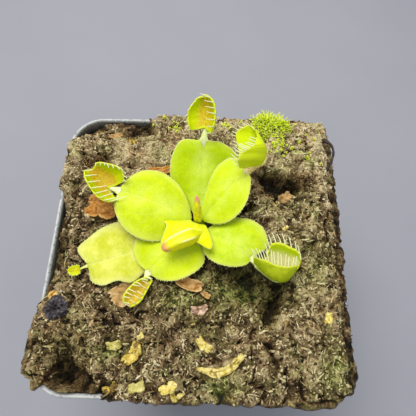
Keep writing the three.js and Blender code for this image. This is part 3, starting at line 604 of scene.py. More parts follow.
# Where the soil lies over the rim though its relief is low: x, y, reach along x and y, height.
HEAPED = [(-46, -33, 7, 9, 4), (-44, -39, 5, 6, 5), (-13, 46, 8, 5, 7), (-14, -46, 8, 5, 5)]
COVER = 0.25  # the least height of soil that lies over the rim
LIP = -1.1  # height of its edge where it hangs over the rim
INSIDE_EDGE = -1.5  # height of its edge where it stays inside the wall
SIDE_TOP = -1.3  # height of the highest place where its side starts
SIDE_GAP = 0.35  # between its side and the wall
FLOOR_GAP = 0.3  # between its base and the pot's floor
BED_DEPTH = 0.75  # how far the soil's crumbs give way under litter
OPEN = 0.4  # the most that a place may lie in a bed of litter, to get a fibre or a crumb
CRUMBS = [(3.6, 7, 1.3), (1.7, 3, 0.85), (0.8, 11, 0.45)]  # size, seed and height
# Where the crumbs lie higher or lower than the part's own relief: x, y, reach along x and y, height.
SETTLED = [
    (-35, -44.5, 9, 3, 4.6),
    (-21, -44.5, 8, 3, 2.2),
    (-43.5, -40, 5.5, 5, 3.6),
    (-41, 8, 5, 9, 2.7),
    (-42, -8, 5, 9, 2.8),
    (-36, -34.5, 2.6, 5, -2.0),
    (-29.5, -40, 2.2, 2.2, -1.6),
    (-15, 43.5, 6, 4, 1.9),
    (-28, 43, 9, 3.5, 3.4),
    (23, 19, 3, 2.2, -2.4),
    (30, 17.5, 2.6, 2, -2.0),
    (21.5, 22.5, 2.4, 2, -1.2),
    (23.8, -19, 1.5, 4.5, -2.4),
    (-22, 26, 3, 2, -2.0),
    (8.2, -32.5, 0.8, 3, -1.4),
    (8.6, -42, 4, 3, -1.4),
]
# Where moss and algae cover the peat: x, y, reach along x and y, share.
GREEN = [
    (14, -14, 15, 8, 0.75),
    (-4, -19, 8, 5, 0.5),
    (8.6, -41, 6, 4, 0.8),
    (-22, -33, 6, 3.5, 0.6),
    (39, -36, 5, 7, 0.7),
    (36, -6, 5, 9, 0.5),
    (-36, -32, 7, 5, 0.4),
    (28, 12, 8, 6, 0.35),
]
# Ground painted darker as shade, mostly under the leaves: x, y, reach along x and y, share of the light it
# loses.
SHADED = [(16, -12, 13, 8, 0.22), (-5, 0, 22, 15, 0.15), (-34, -36, 6, 6, 0.4), (27, 18.8, 8, 3.8, 0.85)]


def hills(places, x, y):
    """The sum of soft round hills: x, y, reach along x and y, height."""
    return sum(high * np.exp(-(((x - px) / a) ** 2) - ((y - py) / b) ** 2) for px, py, a, b, high in places)


def greenness(x, y):
    """The green cover of the soil, as the vectors that its finishes read."""
    share = hills(GREEN, x, y) * (1 + 0.5 * noise(x / 1.6 + 4, y / 1.6))
    return stack(share.clip(0, 0.85), 0 * share, 0 * share)


def beds(x, y):
    """From 0 to 1, where a flake or lump of litter lies."""
    share = np.zeros(np.shape(x))
    places = [flake[1:6] for flake in FLAKES + SMALL_CHIPS]
    places += [(at_x, at_y, radius, radius, 0) for _, at_x, at_y, radius, _ in LUMP_PIECES]
    for place in places:
        share = np.maximum(share, smooth(1.35, 0.95, np.hypot(*offset(x, y, *place))))
    return share


def hollow_shade_and_damp(x, y):
    """From 0 to 1 in the hollows, which are painted darker, partly for wetter peat and partly as painted
    shade.
    """
    deep = ground(x, y) + hills(SETTLED, x, y) - LEVEL - TILT * x
    return smooth(-0.6, -3.8, deep) * (1 - beds(x, y))


def crumbled(x, y):
    """The soil's fine height, and how high each place stands in its crumbs from 0 to 1, less in cracks and
    hollows:
    this is the tone that paints shade between the crumbs.
    """
    warp_x, warp_y = x + 0.35 * noise(x * 1.7, y * 1.7), y + 0.35 * noise(x * 1.7 + 9, y * 1.7)
    relief = 0.22 * noise(x * 2.3, y * 2.3) + 0.12 * noise(x * 5.1, y * 5.1)
    for size, seed, height in CRUMBS:
        top, own = crumbs(warp_x, warp_y, size, seed)
        relief = relief + height * top * (0.55 + 0.7 * own)
    crack = smooth(0.13, 0.0, np.abs(noise(x / 4.7 + 3, y / 4.7)))
    crack = crack * smooth(0.0, 0.3, noise(x / 8.3, y / 8.3 + 6))
    # Hollows sink deeper, and are painted darker, partly for wetter peat and partly as painted shade.
    bed, shade_and_damp, open_share = beds(x, y), hollow_shade_and_damp(x, y), rosette_share(x, y)
    amount = mix(0.4, 1, open_share) * (1 - bed)
    z = ground(x, y) + amount * (relief - 1.65 - 1.2 * crack) - BED_DEPTH * bed
    z = z - 1.2 * shade_and_damp * open_share + hills(SETTLED, x, y)
    # The tone paints shade: low where a place lies deep in its crumbs, in a crack or in a hollow.
    return z, np.clip(relief / 2.6 - 0.25 * shade_and_damp - 0.35 * crack, 0, 1)


def surface(x, y):
    return crumbled(x, y)[0]


def rounded(a, b, half, corner):
    """Where the ray through (a, b), a place on the unit square's outline, meets a rounded square."""
    inner = half - corner
    x, y = a * half, b * half
    cx, cy = np.sign(a) * inner, np.sign(b) * inner
    square, along = np.maximum(x * x + y * y, 1e-9), x * cx + y * cy
    under = np.maximum(along**2 - square * (cx * cx + cy * cy - corner * corner), 0)
    t = (along + np.sqrt(under)) / square
    t = np.where((np.abs(x * t) > inner) & (np.abs(y * t) > inner), t, 1)
    return x * t, y * t


POT = {
    "half": HALF,
    "base_half": 32,
    "rim_corner": 11,
    "base_corner": 7,
    "wall": 1.1,
    "floor": 1.6,
    "band": 9,
    "band_step": 1.3,
    "drain_radius": 4,
    "drain_offset": 20,
    "small_drain": 0.6,  # share of the large holes' radius
}


def wall_half(z):
    """Half of the pot's outer width at a height over its base."""
    foot = RIM - POT["band"]
    taper = mix(POT["base_half"], POT["half"] - POT["band_step"], np.minimum(z / foot, 1))
    return taper + POT["band_step"] * smooth(foot - 1, foot + 1, z)


def wall_corner(z):
    return mix(POT["base_corner"], POT["rim_corner"], z / RIM)


def soil_outline(a, b, below):
    """The soil's side at a height from the rim, inside the pot's wall."""
    z = RIM + below
    half = wall_half(z) - POT["wall"] - SIDE_GAP
    return rounded(a, b, half, wall_corner(z) - POT["wall"] - SIDE_GAP)


def lies_over_rim(x, y):
    """From 0, where the soil ends inside the wall, to 1, where it lies over the rim."""
    return smooth(0.0, 0.6, ground(x * 0.985, y * 0.985) + hills(HEAPED, x, y))


def soil_top():
    """The relief on a grid bent to the rounded square of the rim: its places, its height and its depth in the
    crumbs, which sets the painted shade, and the way (a, b) that each place lies in."""
    steps = np.linspace(-1, 1, SOIL_CELLS + 1)
    gx, gy = np.meshgrid(steps, steps, indexing="ij")
    reach = np.maximum(np.maximum(np.abs(gx), np.abs(gy)), 1e-6)
    a, b = gx / reach, gy / reach
    out_x, out_y = rounded(a, b, SOIL_REACH, POT["rim_corner"])
    over = lies_over_rim(out_x, out_y)
    in_x, in_y = soil_outline(a, b, INSIDE_EDGE)
    strays = 0.5 + 0.4 * noise(out_x * 0.28, out_y * 0.28) + 0.25 * noise(out_x * 0.8, out_y * 0.8)
    spill = 0
    for at_x, at_y, long, far in SPILLS:
        spill = spill + far * np.exp(-((out_x - at_x) ** 2 + (out_y - at_y) ** 2) / long**2)
    ragged = 1 + (OVERHANG * strays + spill) / SOIL_REACH * over
    rim_x, rim_y = mix(in_x, out_x * ragged, over), mix(in_y, out_y * ragged, over)
    bend = reach**7
    x, y = (mix(g * SOIL_REACH, r * reach, bend) for g, r in ((gx, rim_x), (gy, rim_y)))
    z, depth = crumbled(x, y)
    z = mix(z, np.maximum(z, COVER), smooth(0.94, 0.97, reach) * over)
    z = mix(z, LIP, smooth(0.978, 1, reach) ** 3 * over)
    return x, y, z, depth, a, b


def make_soil(finish):
    """The soil: its top, and its sides down to the pot's floor."""
    x, y, z, depth, a, b = soil_top()
    index = np.arange(x.size).reshape(x.shape)
    loop = grid_rim(index)
    points = [stack(x, y, z).reshape(-1, 3)]
    faces, previous, total = [quads(index)], loop, x.size
    start = np.minimum(points[0][loop, 2] - 0.05, SIDE_TOP)
    bottom = POT["floor"] + FLOOR_GAP - RIM
    for share in (0.0, 0.03, 0.09, 0.3, 0.65, 1.0):
        level = mix(start, bottom, share)
        points.append(stack(*soil_outline(a.ravel()[loop], b.ravel()[loop], level), level))
        faces.append(ribbon(previous, total + np.arange(len(loop))))
        previous, total = total + np.arange(len(loop)), total + len(loop)
    points.append([[0, 0, bottom]])
    faces.append(stack(previous, np.full(len(loop), total), np.roll(previous, -1)))
    skirt = total + 1 - x.size
    # Painted light and shade in the tone: darker in crumb gaps, cracks, hollows and under leaves, paler at
    # back and right.
    tint = (depth + 0.35 * painted_back_light(x, y)) * (1 - 0.6 * hills(SHADED, x, y).clip(0, 1))
    tint = np.concatenate([tint.ravel(), np.full(skirt, 0.3)])
    green = np.concatenate([greenness(x, y).reshape(-1, 3), np.zeros((skirt, 3))])
    shape = Shape().add(np.concatenate(points) + [0, 0, RIM], faces, green, tint)
    shape.piece("peat", "peat_soil", [finish], ["soil"])


# ---- Loose litter on the soil ----


def spread(rng, count, reach=1.015):
    """Places over the soil, more or less even, in millimetres."""
    a, b = rng.uniform(-1, 1, (2, count))
    far = np.maximum(np.abs(a), np.abs(b))
    x, y = rounded(a / far, b / far, SOIL_REACH, POT["rim_corner"])
    return x * far * reach, y * far * reach


def inside_edge(x, y):
    """Whether a place is over the soil, and not over the gap between it and the wall."""
    corner = POT["rim_corner"]
    out = np.hypot(*[np.maximum(np.abs(p) - SOIL_REACH + corner, 0) for p in (x, y)]) - corner
    straight = np.maximum(np.abs(x), np.abs(y)) - SOIL_REACH
    return np.maximum(out, straight) < mix(-2.2, 0.75, lies_over_rim(x, y))


def laid(x, y, lift=0.0):
    return stack(x, y, surface(x, y) + lift + RIM)


def painted_back_light(x, y):
    """How much paler the soil is towards the back and the right, as painted light."""
    return 0.42 * smooth(5, 32, y) + 0.16 * smooth(-5, 30, x)


def toned(tone, x, y):
    """The litter's tone: paler towards the back and the right as painted light, darker as painted shade low
    in the crumbs, in cracks and under leaves, and darker in hollows for wetter peat and as painted shade.
    """
    tone = tone + painted_back_light(x, y) + 0.1 * noise(x / 6.3, y / 6.3 + 8) + 0.16 * noise(x / 2.1 + 5, y / 2.1)
    # Painted shade: litter low among the crumbs is darker.
    crumb_shade = mix(0.25, 1.05, smooth(0.25, 0.68, crumbled(x, y)[1]))
    return tone.clip(0, 1) * crumb_shade * (1 - 0.5 * hollow_shade_and_damp(x, y)) * (1 - hills(SHADED, x, y).clip(0, 0.75))


def make_fibres(rng, finish, count=13800, steps=3):
    """Thin curved fibres that lie on the crumbs."""
    x, y = spread(rng, count)
    length = rng.gamma(2.4, 0.42, count).clip(0.4, 3.6)
    turn = rng.uniform(0, 360, count)
    t = np.linspace(-0.5, 0.5, steps)
    way, side = flat_way(turn), flat_way(turn + 90)
    bow = rng.normal(0, 0.07, count) * length
    flat = stack(x, y)[:, None] + way[:, None, :2] * (length[:, None] * t)[..., None]
    flat = flat + side[:, None, :2] * (bow[:, None] * (4 * t * t - 0.5))[..., None]
    px, py = flat[..., 0], flat[..., 1]
    high = surface(px, py)
    slope = rng.normal(0, 0.16, count)[:, None] * length[:, None] * t
    z = mix(high.mean(axis=1, keepdims=True), high, 0.5) + 0.1
    z = z + np.clip(slope, -0.7, 0.7) * rosette_share(px, py)
    root = rng.uniform(0.08, 0.2, count) * rng.choice([1, 1, 1.7], count)
    radii = root[:, None] * np.array([0.5, 1.15, 0.5])
    keep = inside_edge(px, py).all(axis=1) & (beds(px[:, 1], py[:, 1]) < OPEN)
    points, faces = tubes(stack(px, py, z + RIM)[keep], radii[keep])
    tint = np.repeat(toned(rng.beta(0.8, 0.62, count), x, y)[keep], steps * 3)
    green = np.repeat(greenness(x, y)[keep], steps * 3, axis=0)
    Shape().add(points, faces, green, tint=tint).piece("peat_fibres", "peat_soil", [finish], sharp=75)


ICOSA_FACES = np.array([
    (0, 11, 5), (0, 5, 1), (0, 1, 7), (0, 7, 10), (0, 10, 11), (1, 5, 9), (5, 11, 4), (11, 10, 2), (10, 7, 6),
    (7, 1, 8), (3, 9, 4), (3, 4, 2), (3, 2, 6), (3, 6, 8), (3, 8, 9), (4, 9, 5), (2, 4, 11), (6, 2, 10),
    (8, 6, 7), (9, 8, 1),
])
GOLDEN = (1 + math.sqrt(5)) / 2
ICOSA_POINTS = unit(np.array([
    (-1, GOLDEN, 0), (1, GOLDEN, 0), (-1, -GOLDEN, 0), (1, -GOLDEN, 0), (0, -1, GOLDEN), (0, 1, GOLDEN),
    (0, -1, -GOLDEN), (0, 1, -GOLDEN), (GOLDEN, 0, -1), (GOLDEN, 0, 1), (-GOLDEN, 0, -1), (-GOLDEN, 0, 1),
], float))


def turned(rng, count):
    """Random turns, as matrices whose rows are the turned axes."""
    a = unit(rng.normal(size=(count, 3)))
    b = unit(np.cross(a, unit(rng.normal(size=(count, 3)))))
    return np.stack([a, b, np.cross(a, b)], 1)


def grains(rng, places, sizes, stretch):
    """Small broken grains: stretch is their length along three axes of their own."""
    count, corners = len(places), len(ICOSA_POINTS)
    points = ICOSA_POINTS * rng.uniform(0.6, 1.15, (count, corners, 1)) * (sizes[:, None] * stretch)[:, None]
    points = places[:, None] + np.einsum("nij,njk->nik", points, turned(rng, count))
    return points, [(ICOSA_FACES + corners * np.arange(count)[:, None, None]).reshape(-1, 3)]


def make_crumbs(rng, finish, count=7000):
    """Loose crumbs and shards of peat and bark."""
    x, y = spread(rng, count)
    open_soil = inside_edge(x, y) & (beds(x, y) < OPEN)
    x, y = x[open_soil], y[open_soil]
    count = len(x)
    sizes = rng.gamma(3.0, 0.11, count).clip(0.16, 0.95) * mix(0.6, 1, rosette_share(x, y))
    stretch = stack(np.ones(count), rng.uniform(0.5, 1, count), rng.uniform(0.25, 0.8, count))
    points, faces = grains(rng, laid(x, y, 0.1 * sizes), sizes, stretch)
    tint = np.repeat(toned(rng.beta(0.8, 0.8, count), x, y), len(ICOSA_POINTS))
    green = np.repeat(greenness(x, y), len(ICOSA_POINTS), axis=0)
    Shape().add(points, faces, green, tint=tint).piece("peat_crumbs", "peat_soil", [finish], sharp=35)


# ---- Pot ----


def pot_ring(z, shift=0.0, per_corner=20):
    """A level of the pot, its corners as arcs, moved outwards by shift."""
    half, corner = wall_half(z) + shift, wall_corner(z) + shift
    quarter = np.arange(4)[:, None]
    angle = np.radians(90) * (quarter + np.arange(per_corner + 1) / per_corner)
    turn = np.radians(90) * quarter + np.radians(45)
    inset = (half - corner) * math.sqrt(2)
    x = inset * np.cos(turn) + corner * np.cos(angle)
    y = inset * np.sin(turn) + corner * np.sin(angle)
    return stack(x.ravel(), y.ravel(), np.full(x.size, z))


def make_pot(finish):
    """The thin wall with its wider band and beaded rim."""
    foot, wall, floor = RIM - POT["band"], POT["wall"], POT["floor"]
    # The profile, as heights and shifts outwards from the plain wall.
    outer = [(0, -0.9), (0.25, -0.35), (0.9, 0), (2.5, 0), (30, 0), (foot - 1, 0), (foot - 0.6, 0)]
    outer += [(foot, 0), (foot + 0.6, 0), (foot + 1, 0), (RIM - 1.6, 0), (RIM - 0.9, 0.12), (RIM - 0.35, 0.0)]
    crest = [(RIM - 0.1, -0.2), (RIM, -0.5), (RIM, -0.8), (RIM - 0.1, -1.1), (RIM - 0.5, -1.3)]
    inner = [(z, -wall) for z in (RIM - 1.4, foot + 1.3, foot + 0.9, foot + 0.3, foot - 0.3, foot - 0.7, 30)]
    inner += [(floor + 1.2, -wall), (floor, -wall - 1.2)]
    rings = [pot_ring(z, shift) for z, shift in outer + crest + inner]
    pot = Shape().add(*lathe(rings)).piece("nursery_pot", "pot_plastic", [finish], ["pot"], sharp=50)
    pierce(pot, finish)


def pierce(pot, finish):
    """Cuts the drainage holes through the floor: a large one to each corner, and a small one to each side."""
    floor = POT["floor"]
    cutters = Shape()
    for i in range(8):
        out, radius = POT["drain_offset"] * math.sqrt(2), POT["drain_radius"]
        if i % 2:
            out, radius = POT["drain_offset"], POT["drain_radius"] * POT["small_drain"]
        x, y, _ = flat_way(45 + 45 * i) * out
        cutters.add(*lathe([ring(x, y, radius, circle(40), z) for z in (-floor, 2 * floor)]))
    cutter = cutters.piece("drain_cutters", "pot_plastic", [finish])
    cut = pot.modifiers.new("drains", "BOOLEAN")
    cut.operation, cut.solver, cut.object = "DIFFERENCE", "EXACT", cutter
    evaluated = pot.evaluated_get(bpy.context.evaluated_depsgraph_get())
    solid = bpy.data.meshes.new_from_object(evaluated)
    pot.modifiers.clear()
    pot.data = solid
    bpy.data.objects.remove(cutter)


# ---- Leaves ----

# A leaf's rib gives base, middle and neck of the midrib. The outlines run from the base to the neck, as share
# of the midrib's length and distance from it. Fold lifts the sides, droop bends the margins down.
LEAVES = {
    "leaf_lower_left": {
        "rib": [(-2.6, 2.4, 0.7), (-18, -4.6, 2.7), (-32, -9, 1.6)],
        "left": [(0.14, 2), (0.3, 4.2), (0.46, 6.8), (0.6, 8.7), (0.72, 7.1), (0.86, 7.2), (0.98, 4.8)],
        "right": [(0.14, 2.6), (0.3, 7), (0.5, 10.4), (0.7, 11.4), (0.9, 10.2), (1.09, 6.4)],
        "fold": 0.12, "droop": 0.22, "wave": 0.7,
    },
    "leaf_front": {
        "rib": [(-1.2, 0.8, 2.7), (-6.6, -5, 5.6), (-13.1, -11.2, 4.1)],
        "left": [(0.06, 6), (0.2, 8.8), (0.4, 9.4), (0.6, 8.8), (0.78, 7.2), (0.93, 4.2)],
        "right": [(0.12, 3.2), (0.3, 6), (0.5, 8.8), (0.74, 10.5), (0.96, 8.6), (1.04, 4.4)],
        "fold": 0.04, "droop": 0.08, "wave": 0.2,
    },
    "leaf_right": {
        "rib": [(3.6, 2.2, 2.8), (10, -1.9, 6), (17, -6.6, 5.6)],
        "left": [(0.1, 4.4), (0.24, 7), (0.44, 9), (0.68, 10), (0.92, 9.4), (1.12, 5.6)],
        "right": [(0.08, 4.6), (0.22, 6.4), (0.44, 7.3), (0.64, 6.8), (0.84, 5.2), (0.98, 2.8)],
        "fold": 0.08, "droop": 0.2, "wave": 0.3,
    },
    "leaf_back": {
        "rib": [(1.2, 6.8, 2.9), (1.8, 17.6, 6.4), (2.1, 28.6, 12.6)],
        "left": [(0.14, 3.8), (0.3, 7.4), (0.48, 9.8), (0.66, 10.4), (0.84, 9.6), (1, 6.8)],
        "right": [(0.14, 3.8), (0.3, 7.4), (0.5, 10.8), (0.68, 11.8), (0.86, 10.2), (0.98, 5.6)],
        "fold": 0.12, "droop": 0.2, "wave": 0.3,
    },
    "leaf_left": {
        "rib": [(-1.5, 4.9, 4.8), (-11.2, 8.4, 9.2), (-23.4, 13, 8.2)],
        "left": [(0.06, 5), (0.22, 9), (0.44, 11.2), (0.64, 11.2), (0.82, 9.4), (0.97, 5.2)],
        "right": [(0.12, 4.4), (0.3, 7.8), (0.52, 10), (0.7, 10.6), (0.88, 9), (0.98, 4.8)],
        "fold": 0.1, "droop": 0.26, "wave": 0.2,
    },
    "leaf_back_right": {
        "rib": [(2.2, 5.6, 4.6), (8.6, 11.8, 9.6), (15.2, 18.4, 11.6)],
        "left": [(0.12, 2.4), (0.3, 4.4), (0.52, 6.4), (0.76, 7.6), (0.98, 6.8), (1.06, 4)],
        "right": [(0.1, 4.4), (0.26, 6.8), (0.46, 7.4), (0.66, 6.6), (0.84, 4.6), (0.97, 2.4)],
        "fold": 0.14, "droop": 0.2, "wave": 0.2,
    },
    "leaf_young": {
        "rib": [(0.2, 3.2, 7.4), (-0.8, 0.4, 9.9), (-2.2, -2.6, 10.2)],
        "left": [(-0.22, 2.8), (0.1, 4.4), (0.42, 6.2), (0.7, 7.6), (0.92, 7.2), (0.92, 3.2)],
        "right": [(-0.22, 1.9), (0.1, 4.6), (0.42, 8.8), (0.8, 7.2), (1.3, 6.6), (1.62, 5.8), (1.3, 2.6)],
        "fold": -0.03, "droop": 0.2, "wave": 0, "ends": (1.4, 0.9),
    },
}
# The traps have the midrib and the margins of both lobes, from the neck to the far end, and for each margin,
# minus and plus, the number of its teeth, their length and the ways they point near the neck and at the far
# end. Green is where the flush inside gives way to the colour outside, as shares of the way to the margin.
TRAPS = {
    "leaf_lower_left": {
        "rib": [(-34.4, -10.2, 1.4), (-35.4, -10.3, 1.4), (-36.4, -10.6, 1.5), (-37.5, -11, 1.9)],
        "plus": [(-33.9, -11, 1.6), (-34.3, -11.7, 2.2), (-35.1, -12, 2.3), (-35.8, -12.1, 2.3),
                 (-36.3, -12, 2.4), (-36.8, -11.7, 2.5), (-37.3, -11.2, 2.3)],
        "minus": [(-34.5, -9.4, 1.7), (-34.9, -9, 2), (-35.7, -9.2, 2), (-36.5, -9.4, 2), (-37, -9.7, 2.1),
                  (-37.4, -10.3, 2.1), (-37.6, -10.8, 2.1)],
        "teeth": [(5, 0.7, (1, 0.6, 0.2), (-1, 0.6, 0.3)), (5, 0.7, (0.9, -0.7, 0.2), (-1, -0.5, 0.3))],
        "green": (0.3, 0.8),
    },
    "leaf_front": {
        "rib": [(-13.9, -14.4, 3.6), (-15.3, -16.2, 3.3), (-16.7, -18.3, 3.7), (-17.7, -20.3, 4.8)],
        "plus": [(-11.7, -13.3, 4.2), (-12, -14.8, 5.8), (-12.7, -16.4, 6), (-13.5, -18.1, 5.9),
                 (-14.3, -19.6, 6), (-15.6, -20.7, 6.1), (-17.3, -21.3, 5.5)],
        "minus": [(-13.2, -12.6, 4.5), (-14.8, -13.6, 6.3), (-16.2, -14.7, 6.8), (-17.4, -16, 6.9),
                  (-18.3, -17.3, 7), (-19, -18.8, 6.9), (-18.8, -20.6, 5.8)],
        "teeth": [(8, 3.1, (0.8, -0.5, 0.2), (0.8, -0.2, 0.2)),
                  (7, 2.8, (-0.8, 0.2, 0.3), (-0.8, 0.4, 0.3))],
        "green": (0.75, 1),
    },
    "leaf_right": {
        "rib": [(17.7, -7.9, 6.7), (22.2, -11.6, 5.3), (26.4, -12.8, 5.5), (29.3, -9.8, 8.2)],
        "plus": [(21.4, -6.9, 6.9), (21.5, -5.2, 8.7), (22.5, -3.3, 9.9), (24.9, -3.2, 10.3),
                 (27.3, -4.3, 10.4), (29.6, -5.6, 10.3), (30.4, -7.8, 9.6)],
        "minus": [(17.4, -7, 8.7), (18.6, -8.4, 11.9), (20.3, -9, 12.6), (22.2, -9.9, 12.6),
                  (24.2, -10.4, 12.5), (26.4, -10.5, 12.1), (29, -9.5, 10.2)],
        "teeth": [(14, 3.4, (-0.5, 0.7, 0.3), (0.2, 0.9, 0.2)),
                  (11, 3, (-0.5, 0.8, 0.2), (-0.25, 0.8, 0.4))],
        "green": (0.8, 1),
    },
    "leaf_back": {
        "rib": [(2.4, 31.7, 14.8), (2.9, 35.1, 15.7), (2.8, 38.1, 17.2), (1.9, 40.1, 19.4)],
        "plus": [(-2.2, 30.7, 15.1), (-2.6, 31.8, 16.4), (-2.9, 33.8, 17.4), (-2.4, 36.1, 18.4),
                 (-1.2, 37.7, 19.3), (0, 38.9, 19.9), (1.4, 39.5, 19.9)],
        "minus": [(4.2, 28.9, 15.6), (4.9, 29.2, 18.9), (5.3, 31.2, 20.2), (5.4, 33.2, 21),
                  (5, 35.5, 21.9), (4, 37.2, 22.2), (2.4, 39.4, 20.9)],
        "teeth": [(8, 2.9, (-1, 0, 0.3), (-1, 0.1, 0.2)), (9, 1.5, (-0.9, -0.7, 0.1), (0.7, -0.5, 0.4))],
        "green": (0.2, 0.8),
    },
    "leaf_left": {
        "rib": [(-26.8, 13.6, 8.4), (-28.7, 16, 8.3), (-30.5, 18, 9), (-31.8, 19.4, 10.3)],
        "plus": [(-23.7, 9.6, 9.2), (-25, 7.9, 11.5), (-27.3, 8.4, 12), (-29.5, 10.1, 12.3),
                 (-31.2, 12.3, 12.8), (-32.8, 14.9, 13), (-34.1, 18.1, 11.5)],
        "minus": [(-22, 15.4, 10.1), (-21.9, 16.8, 11.6), (-22.8, 18.6, 12.2), (-25, 19.6, 12.4),
                  (-27.1, 20.1, 12.4), (-29.1, 20.5, 12.3), (-31, 20.6, 11.5)],
        "teeth": [(10, 2.8, (0.6, -0.6, 0.4), (0.2, -0.9, 0.3)),
                  (9, 5.2, (0.9, 0.4, 0.1), (0.9, 0.05, 0))],
        "green": (0.35, 0.78),
    },
    "leaf_back_right": {
        "rib": [(19.4, 20.3, 12.7), (20.6, 22.8, 13.6), (20.4, 25.5, 15), (18.3, 27.3, 16.5)],
        "plus": [(12.8, 22.1, 13.6), (12.8, 24.2, 14.7), (12, 26.7, 15.8), (11.9, 28.8, 16.7),
                 (13.4, 30, 17.4), (15.6, 30.7, 17.9), (17.3, 29.4, 17.6)],
        "minus": [(12.9, 18.2, 14.7), (12.3, 18.1, 18.9), (12.9, 19.8, 20.1), (14.4, 20.9, 20.1),
                  (15.8, 22, 19.9), (17.1, 23.5, 19.4), (17.7, 26.5, 17.8)],
        "teeth": [(13, 2.9, (-0.6, 0.7, 0.2), (-0.7, 0.4, 0.1)),
                  (11, 1.5, (-0.9, 0.2, 0.2), (-0.5, 0.6, 0.3))],
        "green": (0.3, 0.8),
    },
}
# Folded traps: blunt is how thick they stay towards the tip, and waist how thick they are at the foot.
BUDS = {
    "leaf_young": {"base": (2.4, -0.4, 9), "bend": (-2.8, -3, 13), "tip": (-8.6, -6, 10.6), "radius": 2.5,
                   "blunt": 0.62, "waist": 0.3},
    "leaf_spear": {"base": (0.9, 4.6, 6.3), "bend": (0.9, 5.2, 10.5), "tip": (0.7, 9.2, 14.4), "radius": 1.3,
                   "blunt": 0.35, "waist": 1.15},
}
ENDS = (1.2, 0.8)  # half of a blade's width at its base and at its neck
LOBE_CUP = (0.85, 0.12)  # how far out and up, as shares of the way to its margin, a lobe's middle is drawn


def above_rim(place):
    return np.array(place, float) + [0, 0, RIM]


def spline(stations, u):
    """A smooth line through evenly timed stations."""
    stations = np.array(stations, float)
    last = len(stations) - 1
    at = np.clip(u, 0, 1) * last
    whole = np.minimum(at.astype(int), last - 1)
    t = (at - whole)[..., None]
    a, b, c, d = (stations[np.clip(whole + k, 0, last)] for k in (-1, 0, 1, 2))
    start, end = (c - a) / 2, (d - b) / 2
    return (2 * b - 2 * c + start + end) * t**3 + (3 * c - 3 * b - 2 * start - end) * t**2 + start * t + b


def blade_frame(leaf, u, v):
    """A blade's plain surface, with its upward way, the signed distance from the rib and that along it."""
    base, middle, neck = (above_rim(p) for p in leaf["rib"])
    control = 2 * middle - base / 2 - neck / 2
    line = bent(base, control, neck, np.linspace(0, 1, 101)[:, None])
    length = np.linalg.norm(np.diff(line, axis=0), axis=1).sum()
    side, share = np.where(2 * v - 1 >= 0, 1, -1), from_middle(v)
    foot, tip = leaf.get("ends", ENDS)
    left_edge, right_edge = (spline([(0, foot), *leaf[key], (1, tip)], u) for key in ("left", "right"))
    edge = np.where((side > 0)[..., None], left_edge, right_edge)
    along = u + (edge[..., 0] - u) * share * share
    out = edge[..., 1] * share
    held = np.clip(along, 0, 1)[..., None]
    forward = unit(2 * (1 - held) * (control - base) + 2 * held * (neck - control))
    left = unit(np.cross([0, 0, 1], forward))
    up = np.cross(forward, left)
    rise = leaf["fold"] * out - leaf["droop"] * out**2 / 12
    rise = rise + leaf["wave"] * np.sin(9 * u + 2 * side) * share**3
    place = bent(base, control, neck, held) + forward * ((along[..., None] - held) * length)
    place = place + left * (side * out)[..., None] + up * rise[..., None]
    return place, up, side * out, along * length


def blade_relief(out, along, share):
    """A groove over the midrib, side veins that run forward from it, and a slightly uneven blade."""
    groove = -0.17 * np.exp(-((out / 0.7) ** 2))
    veins = 0.012 * np.sin(2.4 * (along - 0.8 * np.abs(out)))
    veins = veins * smooth(0.0, 0.2, share) * smooth(1.0, 0.7, share)
    uneven = 0.12 * noise(along / 3.6 + 5, out / 3.1 + 2) + 0.03 * noise(along / 1.2, out / 1.1)
    return groove + veins + uneven * smooth(0.02, 0.3, share)


def make_blade(shape, leaf, cells=(110, 64)):
    def middle(u, v):
        place, up, out, along = blade_frame(leaf, u, v)
        return place + up * blade_relief(out, along, from_middle(v))[..., None]

    def thickness(u, v):
        share = from_middle(v)
        return mix(0.9, 0.32, share**0.6) * mix(1, 0.4, smooth(0.96, 1, share))

    points, faces, (u, v, side) = sheet(middle, *cells, thickness)
    _, _, out, along = blade_frame(leaf, u, v)
    shape.add(points, faces, stack(along, out, from_middle(v)), side, 0)


def make_cilia(shape, leaf, rng, pitch=1.05):
    """Tiny teeth all along a blade's margins."""
    def line(u, v):
        return blade_frame(leaf, u, np.full(u.shape, v))[0]

    for edge in (0.0, 1.0):
        u = np.linspace(0.08, 0.985, 300)
        run = np.concatenate([[0], np.cumsum(np.linalg.norm(np.diff(line(u, edge), axis=0), axis=1))])
        u = np.interp(np.cumsum(rng.uniform(0.4, 1.6, int(run[-1] / pitch)) * pitch), run, u)
        root = line(u, edge)
        out = unit(root - line(u, abs(edge - 0.03))) + rng.normal(0, 0.15, root.shape)
        length = rng.uniform(0.1, 0.42, len(u))[:, None, None]
        path = root[:, None] + out[:, None] * length * np.array([-0.4, 0.3, 1])[None, :, None]
        shape.add(*tubes(path, np.broadcast_to([0.26, 0.18, 0.05], path.shape[:2])), tint=0.15, finish=2)


def trap_curves(trap, s):
    """The midrib and the plus and minus margins at s, from 0 at the neck to 1 at the far end."""
    return [spline([above_rim(p) for p in trap[key]], s) for key in ("rib", "plus", "minus")]


def trap_axes(trap):
    """A trap's ways along its midrib and out of its opening, and the way across from minus to plus."""
    rib, plus, minus = trap_curves(trap, np.array([0.0, 0.5, 1.0]))
    along = unit(rib[2] - rib[0])
    open_way = (plus[1] + minus[1]) / 2 - rib[1]
    open_way = unit(open_way - along * (along @ open_way))
    return along, open_way, np.cross(open_way, along)


def trap_surface(trap, s, t):
    """A trap's lobes: t runs from the minus margin over the midrib to the plus margin."""
    rib, plus, minus = trap_curves(trap, s)
    margin = np.where((t >= 0.5)[..., None], plus, minus)
    open_way = trap_axes(trap)[1]
    rise = ((margin - rib) @ open_way)[..., None] * open_way
    knee = rib + LOBE_CUP[0] * (margin - rib - rise) + LOBE_CUP[1] * rise
    return bent(rib, knee, margin, from_middle(t)[..., None])


